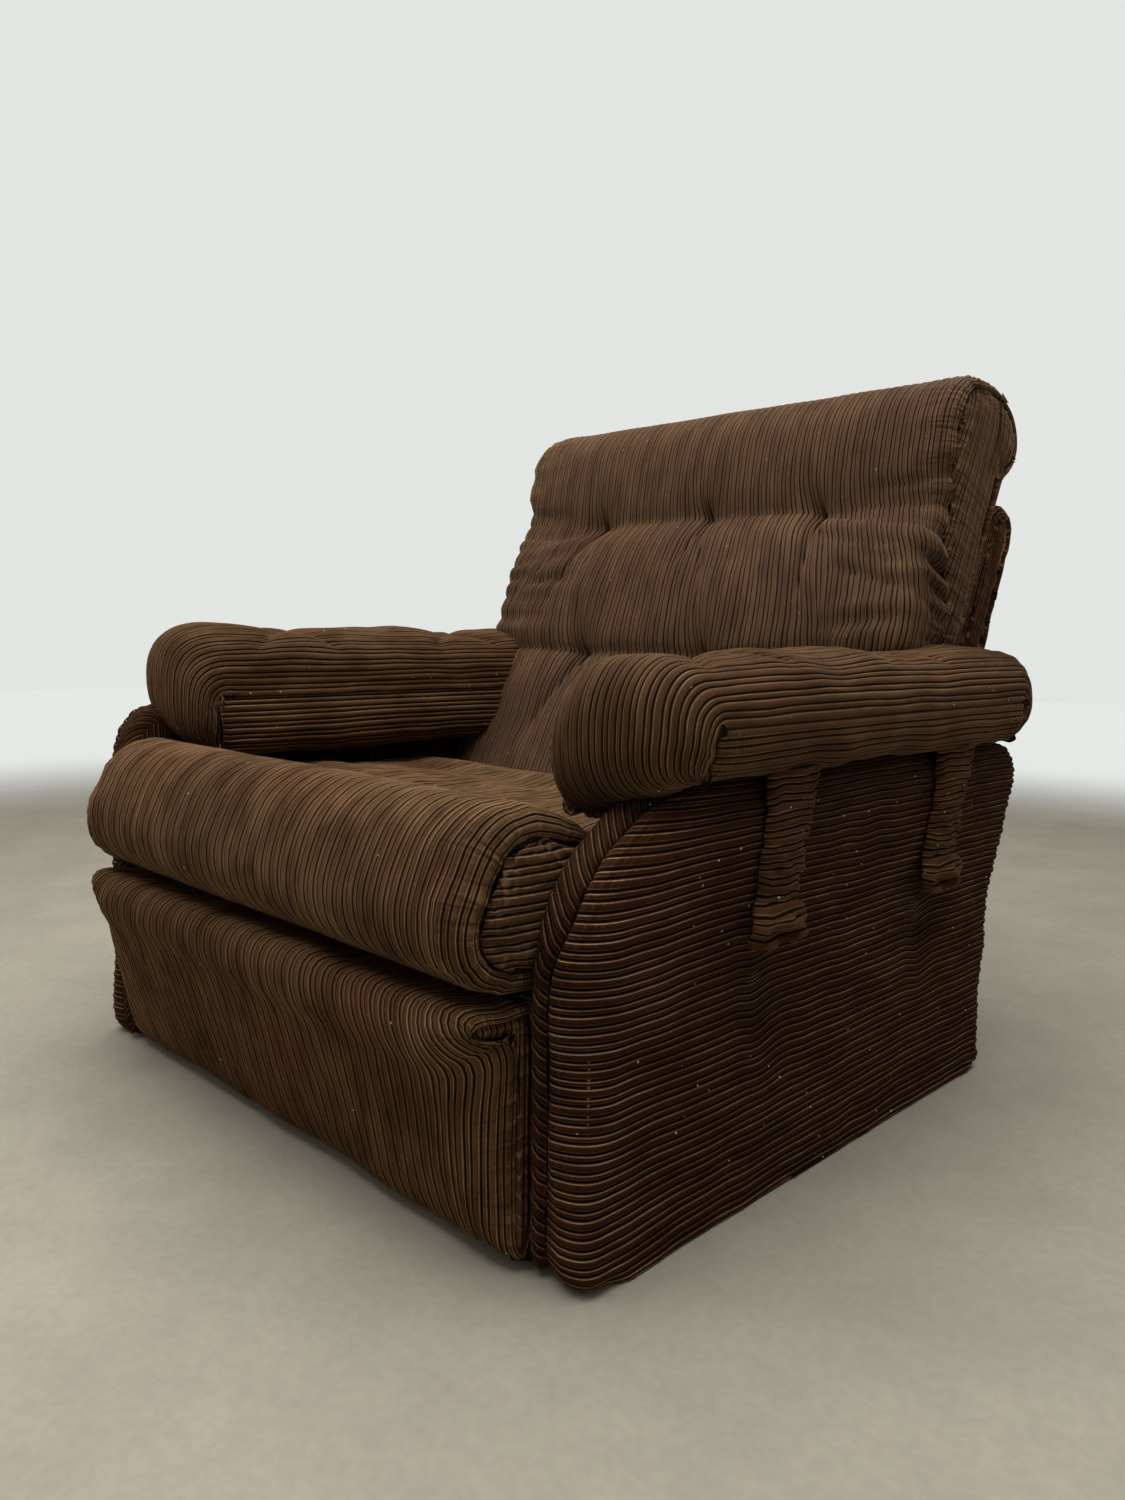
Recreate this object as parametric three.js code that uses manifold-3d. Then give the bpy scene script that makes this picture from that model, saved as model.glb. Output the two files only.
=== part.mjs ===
// Low lounge armchair: two padded side panels, a seat unit with a padded apron, a reclined back panel,
// and loose cushions for the seat, the back and each arm. Millimetres, +Z up, front of the chair at -Y.
import * as THREE from 'three';
import { mergeVertices } from 'three/addons/utils/BufferGeometryUtils.js';
import Module from 'manifold-3d';

const wasm = await Module();
wasm.setup();

// ---- driving dimensions -------------------------------------------------------------------------
const HALF_WIDTH = 452;            // outer face of a side panel
const SIDE_THICKNESS = 69;         // padded side panel, face to face
const SIDE_WALL = 12;              // foam and cloth over each face of a side frame
const SIDE_EDGE = 14;              // foam and cloth round the edge of a side frame
const SIDE_TOP = 430;              // top of a side panel
const SIDE_FRONT = -434;           // front edge of a side panel
const SIDE_CLEARANCE = 1;          // hem of a side cover above the floor
const BOARD = 6;                   // hardboard faces of a side frame
const RAIL = 22;                   // thickness of the seat rails
const SEAT_FRONT = -511;           // front of the seat cushion
const SEAT_DECK = 246;             // underside of the seat cushion
const SEAT_TOP = 386;              // top of the seat cushion behind its front roll
const SEAT_ROLL_TOP = 402;         // top of the front roll
const SEAT_HALF = 381;             // half the inside width between the side panels
const RAIL_TOP = 238;              // top of the seat rails
const RAIL_BOTTOM = 150;           // underside of the side and rear seat rails
const RECLINE = THREE.MathUtils.degToRad(23);
const BACK_FOOT_Y = 105.3;          // where the face of the back cushion meets the seat
const BACK_FOOT_Z = 370;
const BACK_DEPTH = 150;            // thickness of the back cushion
const BACK_PANEL_DEPTH = 90;       // thickness of the padded back panel
const BACK_PANEL_TOP = 494;        // along the recline, from the foot of the cushion's face
const BACK_PANEL_BOTTOM = -262;
const ARM_TOP = 563;               // top of an arm cushion
const ARM_UNDERSIDE = 433;         // where an arm cushion lies on its side panel
const ARM_INNER_LEG = 390;         // lowest point of the part that hangs inside the panel
const ARM_FRONT = -385;
const ARM_REAR = 402;
const GAP = 0.3;                   // between pieces that touch
const BOLT_RADIUS = 4;
const BOLT_HOLE = 4.4;
const GLIDE_RADIUS = 11;
const GLIDE_HEIGHT = 4;

const SIDE_INNER = HALF_WIDTH - SIDE_THICKNESS;
const CAVITY_IN = SIDE_INNER + SIDE_WALL;
const CAVITY_OUT = HALF_WIDTH - SIDE_WALL;
const POST_IN = CAVITY_IN + BOARD + 2 * GAP;
const POST_OUT = CAVITY_OUT - BOARD - 2 * GAP;
const TAN_RECLINE = Math.tan(RECLINE);

// ---- materials ----------------------------------------------------------------------------------
function finish(color, roughness, metalness = 0) {
  return () => new THREE.MeshStandardMaterial({ color, roughness, metalness });
}
const corduroy = finish(0x4a3728, 0.95);
const timber = finish(0xb58a58, 0.7);
const hardboard = finish(0x7b5535, 0.8);
const rubberWebbing = finish(0x3a3029, 0.85);
const darkCloth = finish(0x24201d, 0.95);
const plasticGlide = finish(0x2a2724, 0.5);
const zincSteel = finish(0xa2a29e, 0.4, 0.9);

// ---- building helpers ---------------------------------------------------------------------------
const armchair = new THREE.Group();

function add(name, geometry, material, parent = armchair) {
  const mesh = new THREE.Mesh(geometry, material());
  mesh.name = name;
  parent.add(mesh);
  return mesh;
}

// A box given by its lowest and highest corners.
function block(low, high) {
  const size = high.map((value, axis) => value - low[axis]);
  const geometry = new THREE.BoxGeometry(...size);
  geometry.translate(...low.map((value, axis) => value + size[axis] / 2));
  return geometry;
}

// An outline in the Y, Z plane given thickness from x0 to x1, its edges rounded by round.
function slab(shape, x0, x1, round = 0) {
  const geometry = new THREE.ExtrudeGeometry(shape, {
    depth: x1 - x0 - 2 * round,
    curveSegments: 8,
    bevelEnabled: round > 0,
    bevelThickness: round,
    bevelSize: round,
    bevelOffset: -round,
    bevelSegments: 3,
  });
  const turn = new THREE.Matrix4().makeBasis(
    new THREE.Vector3(0, 1, 0), new THREE.Vector3(0, 0, 1), new THREE.Vector3(1, 0, 0));
  geometry.applyMatrix4(turn);
  geometry.translate(x0 + round, 0, 0);
  return geometry;
}

function polygon(points) {
  return new THREE.Shape(points.map(([y, z]) => new THREE.Vector2(y, z)));
}

// The same outline, moved in by distance along its own normals.
function inset(shape, distance) {
  const points = shape.getPoints(8);
  const turn = THREE.ShapeUtils.area(points) > 0 ? 1 : -1;
  return new THREE.Shape(points.map((point, i) => {
    const before = points[(i + points.length - 1) % points.length];
    const after = points[(i + 1) % points.length];
    const along = after.clone().sub(before).normalize();
    return point.clone().add(new THREE.Vector2(-along.y, along.x).multiplyScalar(turn * distance));
  }));
}

// A closed skin over rings of equally many points, capped at both ends.
function loft(rings) {
  const count = rings[0].length;
  const points = rings.flat();
  const indices = [];
  for (let ring = 0; ring + 1 < rings.length; ring += 1) {
    for (let i = 0; i < count; i += 1) {
      const j = (i + 1) % count;
      const a = ring * count;
      const b = a + count;
      indices.push(a + i, a + j, b + j, a + i, b + j, b + i);
    }
  }
  for (const [ring, flip] of [[0, true], [rings.length - 1, false]]) {
    const middle = new THREE.Vector3();
    rings[ring].forEach((point) => middle.addScaledVector(point, 1 / count));
    points.push(middle);
    for (let i = 0; i < count; i += 1) {
      const edge = [ring * count + i, ring * count + (i + 1) % count];
      if (flip) edge.reverse();
      indices.push(points.length - 1, ...edge);
    }
  }
  const geometry = new THREE.BufferGeometry().setFromPoints(points);
  geometry.setIndex(signedVolume(points, indices) < 0 ? indices.reverse() : indices);
  return geometry;
}

function signedVolume(points, indices) {
  let volume = 0;
  for (let i = 0; i < indices.length; i += 3) {
    const [a, b, c] = [points[indices[i]], points[indices[i + 1]], points[indices[i + 2]]];
    volume += a.dot(b.clone().cross(c)) / 6;
  }
  return volume;
}

function toSolid(geometry) {
  const plain = geometry.clone();
  plain.deleteAttribute('normal');
  plain.deleteAttribute('uv');
  const merged = mergeVertices(plain, 1e-3);
  return new wasm.Manifold(new wasm.Mesh({
    numProp: 3,
    vertProperties: Float32Array.from(merged.attributes.position.array),
    triVerts: Uint32Array.from(merged.index.array),
  }));
}

function subtract(geometry, cutters) {
  let solid = toSolid(geometry);
  for (const cutter of cutters) solid = solid.subtract(toSolid(cutter));
  const mesh = solid.getMesh();
  const result = new THREE.BufferGeometry();
  result.setAttribute('position', new THREE.BufferAttribute(mesh.vertProperties, 3));
  result.setIndex(new THREE.BufferAttribute(mesh.triVerts, 1));
  return result;
}

// A round bar along X between x0 and x1, in either order.
function barAlongX(radius, x0, x1, y, z, sides = 12) {
  const geometry = new THREE.CylinderGeometry(radius, radius, Math.abs(x1 - x0), sides);
  geometry.rotateZ(Math.PI / 2);
  geometry.translate((x0 + x1) / 2, y, z);
  return geometry;
}

// ---- side panels --------------------------------------------------------------------------------
// Straight front, a long curve over the front of the arm, a level top, and a rear edge that leans back.
function sideOutline() {
  const shape = new THREE.Shape();
  shape.moveTo(-392, SIDE_CLEARANCE);
  shape.quadraticCurveTo(SIDE_FRONT, SIDE_CLEARANCE, SIDE_FRONT, 42);
  shape.lineTo(SIDE_FRONT, 250);
  shape.bezierCurveTo(SIDE_FRONT, 330, -362, 386, -250, 422);
  shape.quadraticCurveTo(-220, SIDE_TOP, -180, SIDE_TOP);
  shape.lineTo(350, SIDE_TOP);
  shape.quadraticCurveTo(400, SIDE_TOP, 406, 392);
  shape.bezierCurveTo(385, 320, 345, 270, 341, 220);
  shape.lineTo(322, 48);
  shape.quadraticCurveTo(316, SIDE_CLEARANCE, 262, SIDE_CLEARANCE);
  return shape;
}

const SEAT_BOLTS = [[-250, 194], [80, 194]];      // Y, Z of the bolts into the seat rails
const BACK_BOLT = [285, 304];                     // Y, Z of the bolt into the back panel's post
const GLIDES_Y = [-330, 215];

function boltHoles(sign, x0, x1, places) {
  return places.map(([y, z]) => barAlongX(BOLT_HOLE, sign * x0, sign * x1, y, z));
}

function slabOnSide(sign, shape, x0, x1, round) {
  return sign > 0 ? slab(shape, x0, x1, round) : slab(shape, -x1, -x0, round);
}

function blockOnSide(sign, x0, x1, low, high) {
  const [a, b] = sign > 0 ? [x0, x1] : [-x1, -x0];
  return block([a, ...low], [b, ...high]);
}

function sideCover(sign) {
  const outside = slabOnSide(sign, sideOutline(), SIDE_INNER, HALF_WIDTH, SIDE_EDGE - 4);
  const hollow = slabOnSide(sign, inset(sideOutline(), SIDE_EDGE), CAVITY_IN, CAVITY_OUT);
  const slot = blockOnSide(sign, CAVITY_IN, CAVITY_OUT, [-385, -20], [262, 24]);
  const holes = boltHoles(sign, SIDE_INNER - 4, CAVITY_IN + 4, [...SEAT_BOLTS, BACK_BOLT]);
  return subtract(outside, [hollow, slot, ...holes]);
}

function sideFrame(sign, side) {
  const boardShape = inset(sideOutline(), SIDE_EDGE + 2);
  const innerBoard = slabOnSide(sign, boardShape, CAVITY_IN + GAP, CAVITY_IN + GAP + BOARD);
  const boardHoles = boltHoles(sign, CAVITY_IN - 4, POST_IN + 4, [...SEAT_BOLTS, BACK_BOLT]);
  add(`side_board_inner_${side}`, subtract(innerBoard, boardHoles), hardboard);
  add(`side_board_outer_${side}`,
    slabOnSide(sign, boardShape, CAVITY_OUT - GAP - BOARD, CAVITY_OUT - GAP), hardboard);

  const member = (low, high) => blockOnSide(sign, POST_IN, POST_OUT, low, high);
  add(`side_bottom_rail_${side}`, member([-384, GLIDE_HEIGHT + GAP + 14], [261.5, 56]), timber);
  add(`side_front_post_${side}`, member([-345, 56 + GAP], [-305, 354]), timber);
  const rearPost = member([262, 56 + GAP], [308, 384]);
  const postHole = boltHoles(sign, POST_IN - 4, POST_IN + 22, [BACK_BOLT]);
  add(`side_rear_post_${side}`, subtract(rearPost, postHole), timber);
  add(`side_arm_rail_${side}`, member([-304.5, 360], [261.5, 384]), timber);
  const middleRail = member([-304.5, 168], [261.5, 220]);
  add(`side_middle_rail_${side}`,
    subtract(middleRail, boltHoles(sign, POST_IN - 4, POST_IN + 24, SEAT_BOLTS)), timber);
}

function glides(sign, side) {
  ['front', 'rear'].forEach((end, i) => {
    const stem = new THREE.LatheGeometry([
      new THREE.Vector2(0, 0),
      new THREE.Vector2(GLIDE_RADIUS - 2, 0),
      new THREE.Vector2(GLIDE_RADIUS, GLIDE_HEIGHT / 2),
      new THREE.Vector2(GLIDE_RADIUS, GLIDE_HEIGHT + 14),
      new THREE.Vector2(0, GLIDE_HEIGHT + 14),
    ], 16);
    stem.rotateX(Math.PI / 2);
    const glide = add(`glide_${end}_${side}`, stem, plasticGlide);
    glide.position.set(sign * (HALF_WIDTH + SIDE_INNER) / 2, GLIDES_Y[i], 0);
  });
}

// ---- straps that tie each arm cushion down to the outside of its side panel ------------------------
const STRAP_THICKNESS = 3;
const STRAP_PLACES = { front: -150, rear: 192 };  // Y of the middle of each strap's top end

function strap(sign, side, end) {
  const y = STRAP_PLACES[end];
  const shape = polygon([
    [y - 42, ARM_UNDERSIDE - 2], [y - 38, 360], [y - 47, 300], [y - 44, 276], [y - 18, 270],
    [y - 8, 290], [y + 10, 352], [y + 40, ARM_UNDERSIDE - 2],
  ]);
  const x0 = HALF_WIDTH + GAP;
  add(`strap_${end}_${side}`, slabOnSide(sign, shape, x0, x0 + STRAP_THICKNESS), corduroy);
}

// ---- arm cushions ---------------------------------------------------------------------------------
// Each lies on its side panel with an inner part that hangs down beside the seat. Towards the rear the
// inner side steps out round the back cushion, so the rings lean with the back there.
function armRing(sign, station) {
  const { y, lean, inner, outer, leg, step, shrink } = station;
  const legBottom = ARM_UNDERSIDE - (ARM_UNDERSIDE - ARM_INNER_LEG) * leg;
  const section = [
    [outer - 10, ARM_UNDERSIDE], [outer, 452], [outer + 2, 490], [outer - 2, 528], [outer - 20, 554],
    [(inner + outer) / 2, ARM_TOP], [inner + 22, 556], [inner + 4, 532], [inner, 490],
    [inner + 3, legBottom + 16], [inner + 16, legBottom], [step - 6, legBottom + 0.5],
    [step, legBottom + 3], [step, ARM_UNDERSIDE + 4 * (1 - leg)],
  ];
  const middle = [(inner + outer) / 2, (ARM_TOP + ARM_UNDERSIDE) / 2];
  return section.map(([x, z]) => {
    const sx = middle[0] + (x - middle[0]) * shrink;
    const sz = middle[1] + (z - middle[1]) * shrink;
    return new THREE.Vector3(sign * sx, y + lean * (sz - ARM_UNDERSIDE) * TAN_RECLINE, sz);
  });
}

function armCushion(sign) {
  const inner = 316;
  const outer = 470;
  const step = SIDE_INNER - 1.5;
  const body = { lean: 0, inner, outer, leg: 1, step, shrink: 1 };
  const rear = { lean: 1, inner: 387, outer: 474, leg: 0, step: 430, shrink: 1 };
  const stations = [
    { ...body, y: ARM_FRONT, leg: 0.4, inner: 345, outer: 440, shrink: 0.62 },
    { ...body, y: ARM_FRONT + 8, leg: 0.7, inner: 332, outer: 458, shrink: 0.84 },
    { ...body, y: ARM_FRONT + 34, inner: 320, outer: 466, shrink: 0.97 },
    { ...body, y: ARM_FRONT + 75 },
    { ...body, y: -160 },
    { ...body, y: 20, lean: 0.6 },
    { ...body, y: 66, lean: 1, inner: 322 },
    { ...body, y: 92, lean: 1, inner: 350, leg: 0 },
    { ...rear, y: 116 },
    { ...rear, y: 240, lean: 0.6 },
    { ...rear, y: ARM_REAR - 40, lean: 0 },
    { ...rear, y: ARM_REAR - 10, lean: 0, shrink: 0.9 },
    { ...rear, y: ARM_REAR, lean: 0, shrink: 0.66 },
  ];
  return loft(stations.map((station) => armRing(sign, station)));
}

// ---- seat unit ------------------------------------------------------------------------------------
function apronShape() {
  const shape = new THREE.Shape();
  shape.moveTo(-418 - GAP, 5);
  shape.lineTo(-418 - GAP, SEAT_DECK - 3);
  shape.lineTo(-478, SEAT_DECK - 3);
  shape.quadraticCurveTo(-510, SEAT_DECK - 4, -511, 216);
  shape.quadraticCurveTo(-510, 192, -494, 160);
  shape.bezierCurveTo(-470, 105, -462, 60, -446, 18);
  shape.quadraticCurveTo(-440, 5, -428, 5);
  return shape;
}

function seatShape() {
  const shape = new THREE.Shape();
  const rearBottom = BACK_FOOT_Y - (BACK_FOOT_Z - SEAT_DECK) * TAN_RECLINE - 3;
  const rearTop = BACK_FOOT_Y + (SEAT_TOP - BACK_FOOT_Z) * TAN_RECLINE - 3;
  shape.moveTo(rearBottom, SEAT_DECK);
  shape.lineTo(rearTop, SEAT_TOP);
  shape.lineTo(-372, SEAT_TOP);
  shape.quadraticCurveTo(-400, SEAT_ROLL_TOP, -430, SEAT_ROLL_TOP);
  shape.bezierCurveTo(-490, SEAT_ROLL_TOP, SEAT_FRONT, 362, SEAT_FRONT, 318);
  shape.bezierCurveTo(SEAT_FRONT, 280, -496, SEAT_DECK + 4, -440, SEAT_DECK);
  return shape;
}

function seatFrame() {
  const frontRail = [-418, -418 + RAIL];
  const sideRailY = [frontRail[1] + GAP, 138];
  const rearRail = [sideRailY[1] + GAP, sideRailY[1] + GAP + RAIL];
  add('seat_front_rail', block([-SEAT_HALF, frontRail[0], 12], [SEAT_HALF, frontRail[1], RAIL_TOP]), timber);
  add('seat_rear_rail',
    block([-SEAT_HALF, rearRail[0], RAIL_BOTTOM], [SEAT_HALF, rearRail[1], RAIL_TOP]), timber);
  const x0 = SEAT_HALF - RAIL;
  const blockSize = 46;
  for (const [sign, side] of [[-1, 'left'], [1, 'right']]) {
    const rail = blockOnSide(sign, x0, SEAT_HALF, [sideRailY[0], RAIL_BOTTOM], [sideRailY[1], RAIL_TOP]);
    add(`seat_side_rail_${side}`, subtract(rail, boltHoles(sign, x0 - 4, SEAT_HALF + 4, SEAT_BOLTS)), timber);
    for (const [end, y, toward] of [['front', sideRailY[0] + GAP, 1], ['rear', sideRailY[1] - GAP, -1]]) {
      const corner = sign * (x0 - GAP);
      const shape = new THREE.Shape([
        new THREE.Vector2(corner, y),
        new THREE.Vector2(corner - sign * blockSize, y),
        new THREE.Vector2(corner, y + toward * blockSize),
      ]);
      const geometry = new THREE.ExtrudeGeometry(shape, { depth: 60, bevelEnabled: false });
      geometry.translate(0, 0, RAIL_TOP - 70);
      add(`corner_block_${end}_${side}`, geometry, timber);
    }
  }
  return { from: frontRail[0] + 2, to: rearRail[1] - 2 };
}

function seatSupport({ from, to }) {
  const bands = 5;
  const bandWidth = 50;
  const pitch = 134;
  const bandThickness = 3;
  const bottom = RAIL_TOP + GAP;
  for (let i = 0; i < bands; i += 1) {
    const x = (i - (bands - 1) / 2) * pitch;
    add(`seat_webbing_${i + 1}`,
      block([x - bandWidth / 2, from, bottom], [x + bandWidth / 2, to, bottom + bandThickness]), rubberWebbing);
  }
  const cloth = 1.2;
  const deckBottom = bottom + bandThickness + GAP;
  add('deck_cloth', block([-SEAT_HALF + 4, from, deckBottom], [SEAT_HALF - 4, to, deckBottom + cloth]), darkCloth);
  const underside = RAIL_BOTTOM - GAP;
  add('underside_cloth',
    block([-SEAT_HALF + 4, from + RAIL, underside - cloth], [SEAT_HALF - 4, to, underside]), darkCloth);
}

// ---- back: everything here stands in a group that leans with the back -------------------------------
// Inside it X is across the chair, Y runs through the back from its face, Z runs up along it.
const back = new THREE.Group();
back.position.set(0, BACK_FOOT_Y, BACK_FOOT_Z);
back.rotation.x = -RECLINE;

function backCushionShape() {
  const floorAt = (n) => (SEAT_DECK - BACK_FOOT_Z + n * Math.sin(RECLINE)) / Math.cos(RECLINE);
  const shape = new THREE.Shape();
  shape.moveTo(0, floorAt(0) + 1);
  shape.lineTo(BACK_DEPTH, floorAt(BACK_DEPTH) + 1);
  shape.lineTo(BACK_DEPTH, 496);
  shape.bezierCurveTo(172, 512, 178, 552, 160, 576);
  shape.bezierCurveTo(142, 600, 84, 606, 50, 584);
  shape.bezierCurveTo(12, 560, -14, 534, -12, 496);
  shape.bezierCurveTo(-11, 470, -2, 440, 0, 420);
  return shape;
}

const BACK_PANEL_FACE = BACK_DEPTH + 2;
const BACK_WALL = 20;
const BACK_POST_DEPTH = 42;

function backPanelShape() {
  const rear = BACK_PANEL_FACE + BACK_PANEL_DEPTH;
  const middle = (BACK_PANEL_FACE + rear) / 2;
  const shape = new THREE.Shape();
  shape.moveTo(BACK_PANEL_FACE, BACK_PANEL_BOTTOM);
  shape.lineTo(rear, BACK_PANEL_BOTTOM);
  shape.lineTo(rear, BACK_PANEL_TOP - 34);
  shape.quadraticCurveTo(rear, BACK_PANEL_TOP, middle, BACK_PANEL_TOP);
  shape.quadraticCurveTo(BACK_PANEL_FACE, BACK_PANEL_TOP, BACK_PANEL_FACE, BACK_PANEL_TOP - 40);
  return shape;
}

// The back bolt's place, seen from the leaning group.
function inBack([y, z]) {
  const dy = y - BACK_FOOT_Y;
  const dz = z - BACK_FOOT_Z;
  const [c, s] = [Math.cos(RECLINE), Math.sin(RECLINE)];
  return [dy * c - dz * s, dy * s + dz * c];
}

function backPanel() {
  const cavityX = SEAT_HALF - 23;
  const near = BACK_PANEL_FACE + BACK_WALL;
  const far = near + BACK_POST_DEPTH;
  const top = BACK_PANEL_TOP - 24;
  const bolt = [inBack(BACK_BOLT)];
  const hollow = block([-cavityX, near, BACK_PANEL_BOTTOM - 10], [cavityX, far, top]);
  const holes = [-1, 1].flatMap((sign) => boltHoles(sign, cavityX - 4, SEAT_HALF + 4, bolt));
  const padded = slab(backPanelShape(), -SEAT_HALF, SEAT_HALF, 12);
  add('back_panel_cover', subtract(padded, [hollow, ...holes]), corduroy, back);

  const postWidth = 40;
  const postX = cavityX - GAP - postWidth;
  const low = BACK_PANEL_BOTTOM + 8;
  const members = [near + 4, far - GAP];
  for (const [sign, side] of [[-1, 'left'], [1, 'right']]) {
    const post = blockOnSide(sign, postX, postX + postWidth, [members[0], low], [members[1], top - GAP]);
    add(`back_post_${side}`, subtract(post, boltHoles(sign, postX - 4, cavityX, bolt)), timber, back);
  }
  const railX = postX - GAP;
  const railWidth = 44;
  for (const [name, z] of [['top', top - GAP - railWidth], ['lumbar', 40], ['bottom', low]]) {
    add(`back_${name}_rail`,
      block([-railX, members[0], z], [railX, members[1], z + railWidth]), timber, back);
  }
  const bandWidth = 50;
  [150, 245, 340].forEach((z, i) => {
    add(`back_webbing_${i + 1}`,
      block([-cavityX + 2, near + GAP, z], [cavityX - 2, near + 4 - GAP, z + bandWidth]), rubberWebbing, back);
  });
}

// ---- bolts: a round head inside, the shank running out into the side frame --------------------------
function bolt(name, sign, headFace, tip, [y, z]) {
  const profile = [
    [0, 0], [6, 0], [8, 2], [8, 5], [BOLT_RADIUS, 5], [BOLT_RADIUS, tip - headFace + 5], [0, tip - headFace + 5],
  ].map(([r, along]) => new THREE.Vector2(r, along));
  const geometry = new THREE.LatheGeometry(profile, 12);
  geometry.rotateZ(-sign * Math.PI / 2);
  geometry.translate(sign * (headFace - 5), y, z);
  add(name, geometry, zincSteel);
}

// ---- assembly -------------------------------------------------------------------------------------
for (const [sign, side] of [[-1, 'left'], [1, 'right']]) {
  add(`side_cover_${side}`, sideCover(sign), corduroy);
  sideFrame(sign, side);
  glides(sign, side);
  add(`arm_cushion_${side}`, armCushion(sign), corduroy);
  for (const end of ['front', 'rear']) strap(sign, side, end);
  SEAT_BOLTS.forEach((place, i) => {
    bolt(`seat_bolt_${['front', 'rear'][i]}_${side}`, sign, SEAT_HALF - RAIL - GAP, POST_IN + 20, place);
  });
  bolt(`back_bolt_${side}`, sign, SEAT_HALF - 23 - 2 * GAP - 40, POST_IN + 18, BACK_BOLT);
}
add('apron_pad', slab(apronShape(), -SEAT_HALF, SEAT_HALF, 8), corduroy);
seatSupport(seatFrame());
add('seat_cushion', slab(seatShape(), -SEAT_HALF, SEAT_HALF, 20), corduroy);
add('back_cushion', slab(backCushionShape(), -SEAT_HALF, SEAT_HALF, 20), corduroy, back);
backPanel();
armchair.add(back);

export default armchair;
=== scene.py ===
"""Low lounge armchair in worn brown jumbo corduroy: its cloth, its stage and its light.

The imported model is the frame. Each cushion and cover is cut here as sheets of corduroy whose wales are
real ridges, so that tufts, seams and rounded edges bend them as they bend real cloth.
Shapes are worked out in millimetres and become metres when a piece is made.
"""

import math

import bpy
import numpy as np
from bpy.props import FloatProperty, FloatVectorProperty, PointerProperty
from mathutils import Euler, Matrix, Vector


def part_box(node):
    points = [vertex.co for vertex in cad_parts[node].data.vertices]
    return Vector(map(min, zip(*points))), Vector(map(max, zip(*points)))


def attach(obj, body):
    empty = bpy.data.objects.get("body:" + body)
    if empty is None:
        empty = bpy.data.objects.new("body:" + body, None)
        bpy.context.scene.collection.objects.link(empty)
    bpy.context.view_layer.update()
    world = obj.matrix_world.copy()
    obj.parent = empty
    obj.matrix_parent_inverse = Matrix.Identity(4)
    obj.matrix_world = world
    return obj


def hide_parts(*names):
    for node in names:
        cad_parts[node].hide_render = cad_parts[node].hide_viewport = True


bl_info = {
    "name": "Old corduroy armchair",
    "version": (1, 0, 0),
    "blender": (4, 5, 0),
    "location": "View3D > Sidebar > Armchair",
    "description": "Builds the cloth of a low lounge armchair round its packed frame",
    "category": "Object",
}

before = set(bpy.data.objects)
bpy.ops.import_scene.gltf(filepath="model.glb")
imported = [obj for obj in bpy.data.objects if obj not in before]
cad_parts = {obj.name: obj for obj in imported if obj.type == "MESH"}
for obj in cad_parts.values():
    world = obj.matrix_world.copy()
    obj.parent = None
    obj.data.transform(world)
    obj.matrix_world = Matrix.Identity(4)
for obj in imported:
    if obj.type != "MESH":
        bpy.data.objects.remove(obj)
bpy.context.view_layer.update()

MM = 0.001
SIDES = {"right": 1, "left": -1}   # right is +X


def cad(node):
    """Lowest and highest corner of a CAD node, in millimetres."""
    low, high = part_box(node)
    return np.array(low) / MM, np.array(high) / MM


def in_mm(metres):
    """A setting in metres as millimetres, without the rounding of its 32 bits."""
    return round(metres / MM, 3)


# ---- sizes that follow the frame --------------------------------------------------------------------
SEAT_LOW, SEAT_HIGH = cad("seat_cushion")
SIDE_LOW, SIDE_HIGH = cad("side_cover_right")
SIDE_INNER, SIDE_OUTER, SIDE_TOP = SIDE_LOW[0], SIDE_HIGH[0], SIDE_HIGH[2]
BACK_HALF = cad("back_cushion")[1][0]
APRON_HALF = cad("apron_pad")[1][0]
PANEL_HALF = cad("back_panel_cover")[1][0]
RECLINE = math.radians(23)
BACK_FOOT = (105.3, 370.0)         # Y and Z where the face of the back cushion meets the seat

# ---- the cloth -------------------------------------------------------------------------------------
PERIOD, WIDE = 16.0, 9.5           # one wide wale and one narrow wale, and the wide one alone
WIDE_RISE, NARROW_RISE = 3.4, 2.6  # how high each kind of wale stands over its groove
WALE_LINES = np.array([0, 0.6, 1.8, 3.2, 4.75, 6.3, 7.7, 8.9, 9.5, 10.0, 11.1, 12.75, 14.4, 15.5])
COARSE_LINES = np.array([0, 0.9, 2.7, 4.75, 6.8, 8.6, 9.5, 10.4, 12.75, 15.1])   # for the widest pieces
ROW = 8.0                          # spacing of points along a wale
FLAT_BY_SEAM, FLAT_BY_END_SEAM = 5.0, 6.0   # how far from its seam a sheet reaches its full relief
ALLOWANCE = 9.0                    # how deep the edge of a sheet is turned in
SET_BACK = 4.0                     # how far an end sheet starts inside the sheet that is sewn round it
FLOOR_GAP = 0.5                    # hems rest just off the floor
FAR_FROM_SEAM = 500.0
QUARTER = math.pi / 2
ALL_EDGES = ("first_row", "last_row", "first_line", "last_line")


def wale_lines(start, stop, lines=WALE_LINES):
    """Places across the wales where the grid needs a line: closer together by the grooves."""
    first, last = math.floor(start / PERIOD), math.ceil(stop / PERIOD)
    places = (np.arange(first, last)[:, None] * PERIOD + lines).ravel()
    places = places[(places > start + 0.3) & (places < stop - 0.3)]
    return np.concatenate([[start], places, [stop]])


def wale_relief(across):
    """Height of the pile below the tops of the wide wales: 0 on a ridge, deepest in a groove."""
    place = np.mod(across, PERIOD)
    wide = place < WIDE
    side = np.where(wide, place / WIDE, (place - WIDE) / (PERIOD - WIDE)) * 2 - 1
    rise = np.where(wide, WIDE_RISE, NARROW_RISE)
    return rise * (1 - np.abs(side) ** 2.3) ** 0.65 - WIDE_RISE


def steps(start, stop, size=ROW):
    """Even stations from start to stop, about size apart."""
    return np.linspace(start, stop, max(int(abs(stop - start) / size), 2) + 1)


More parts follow.
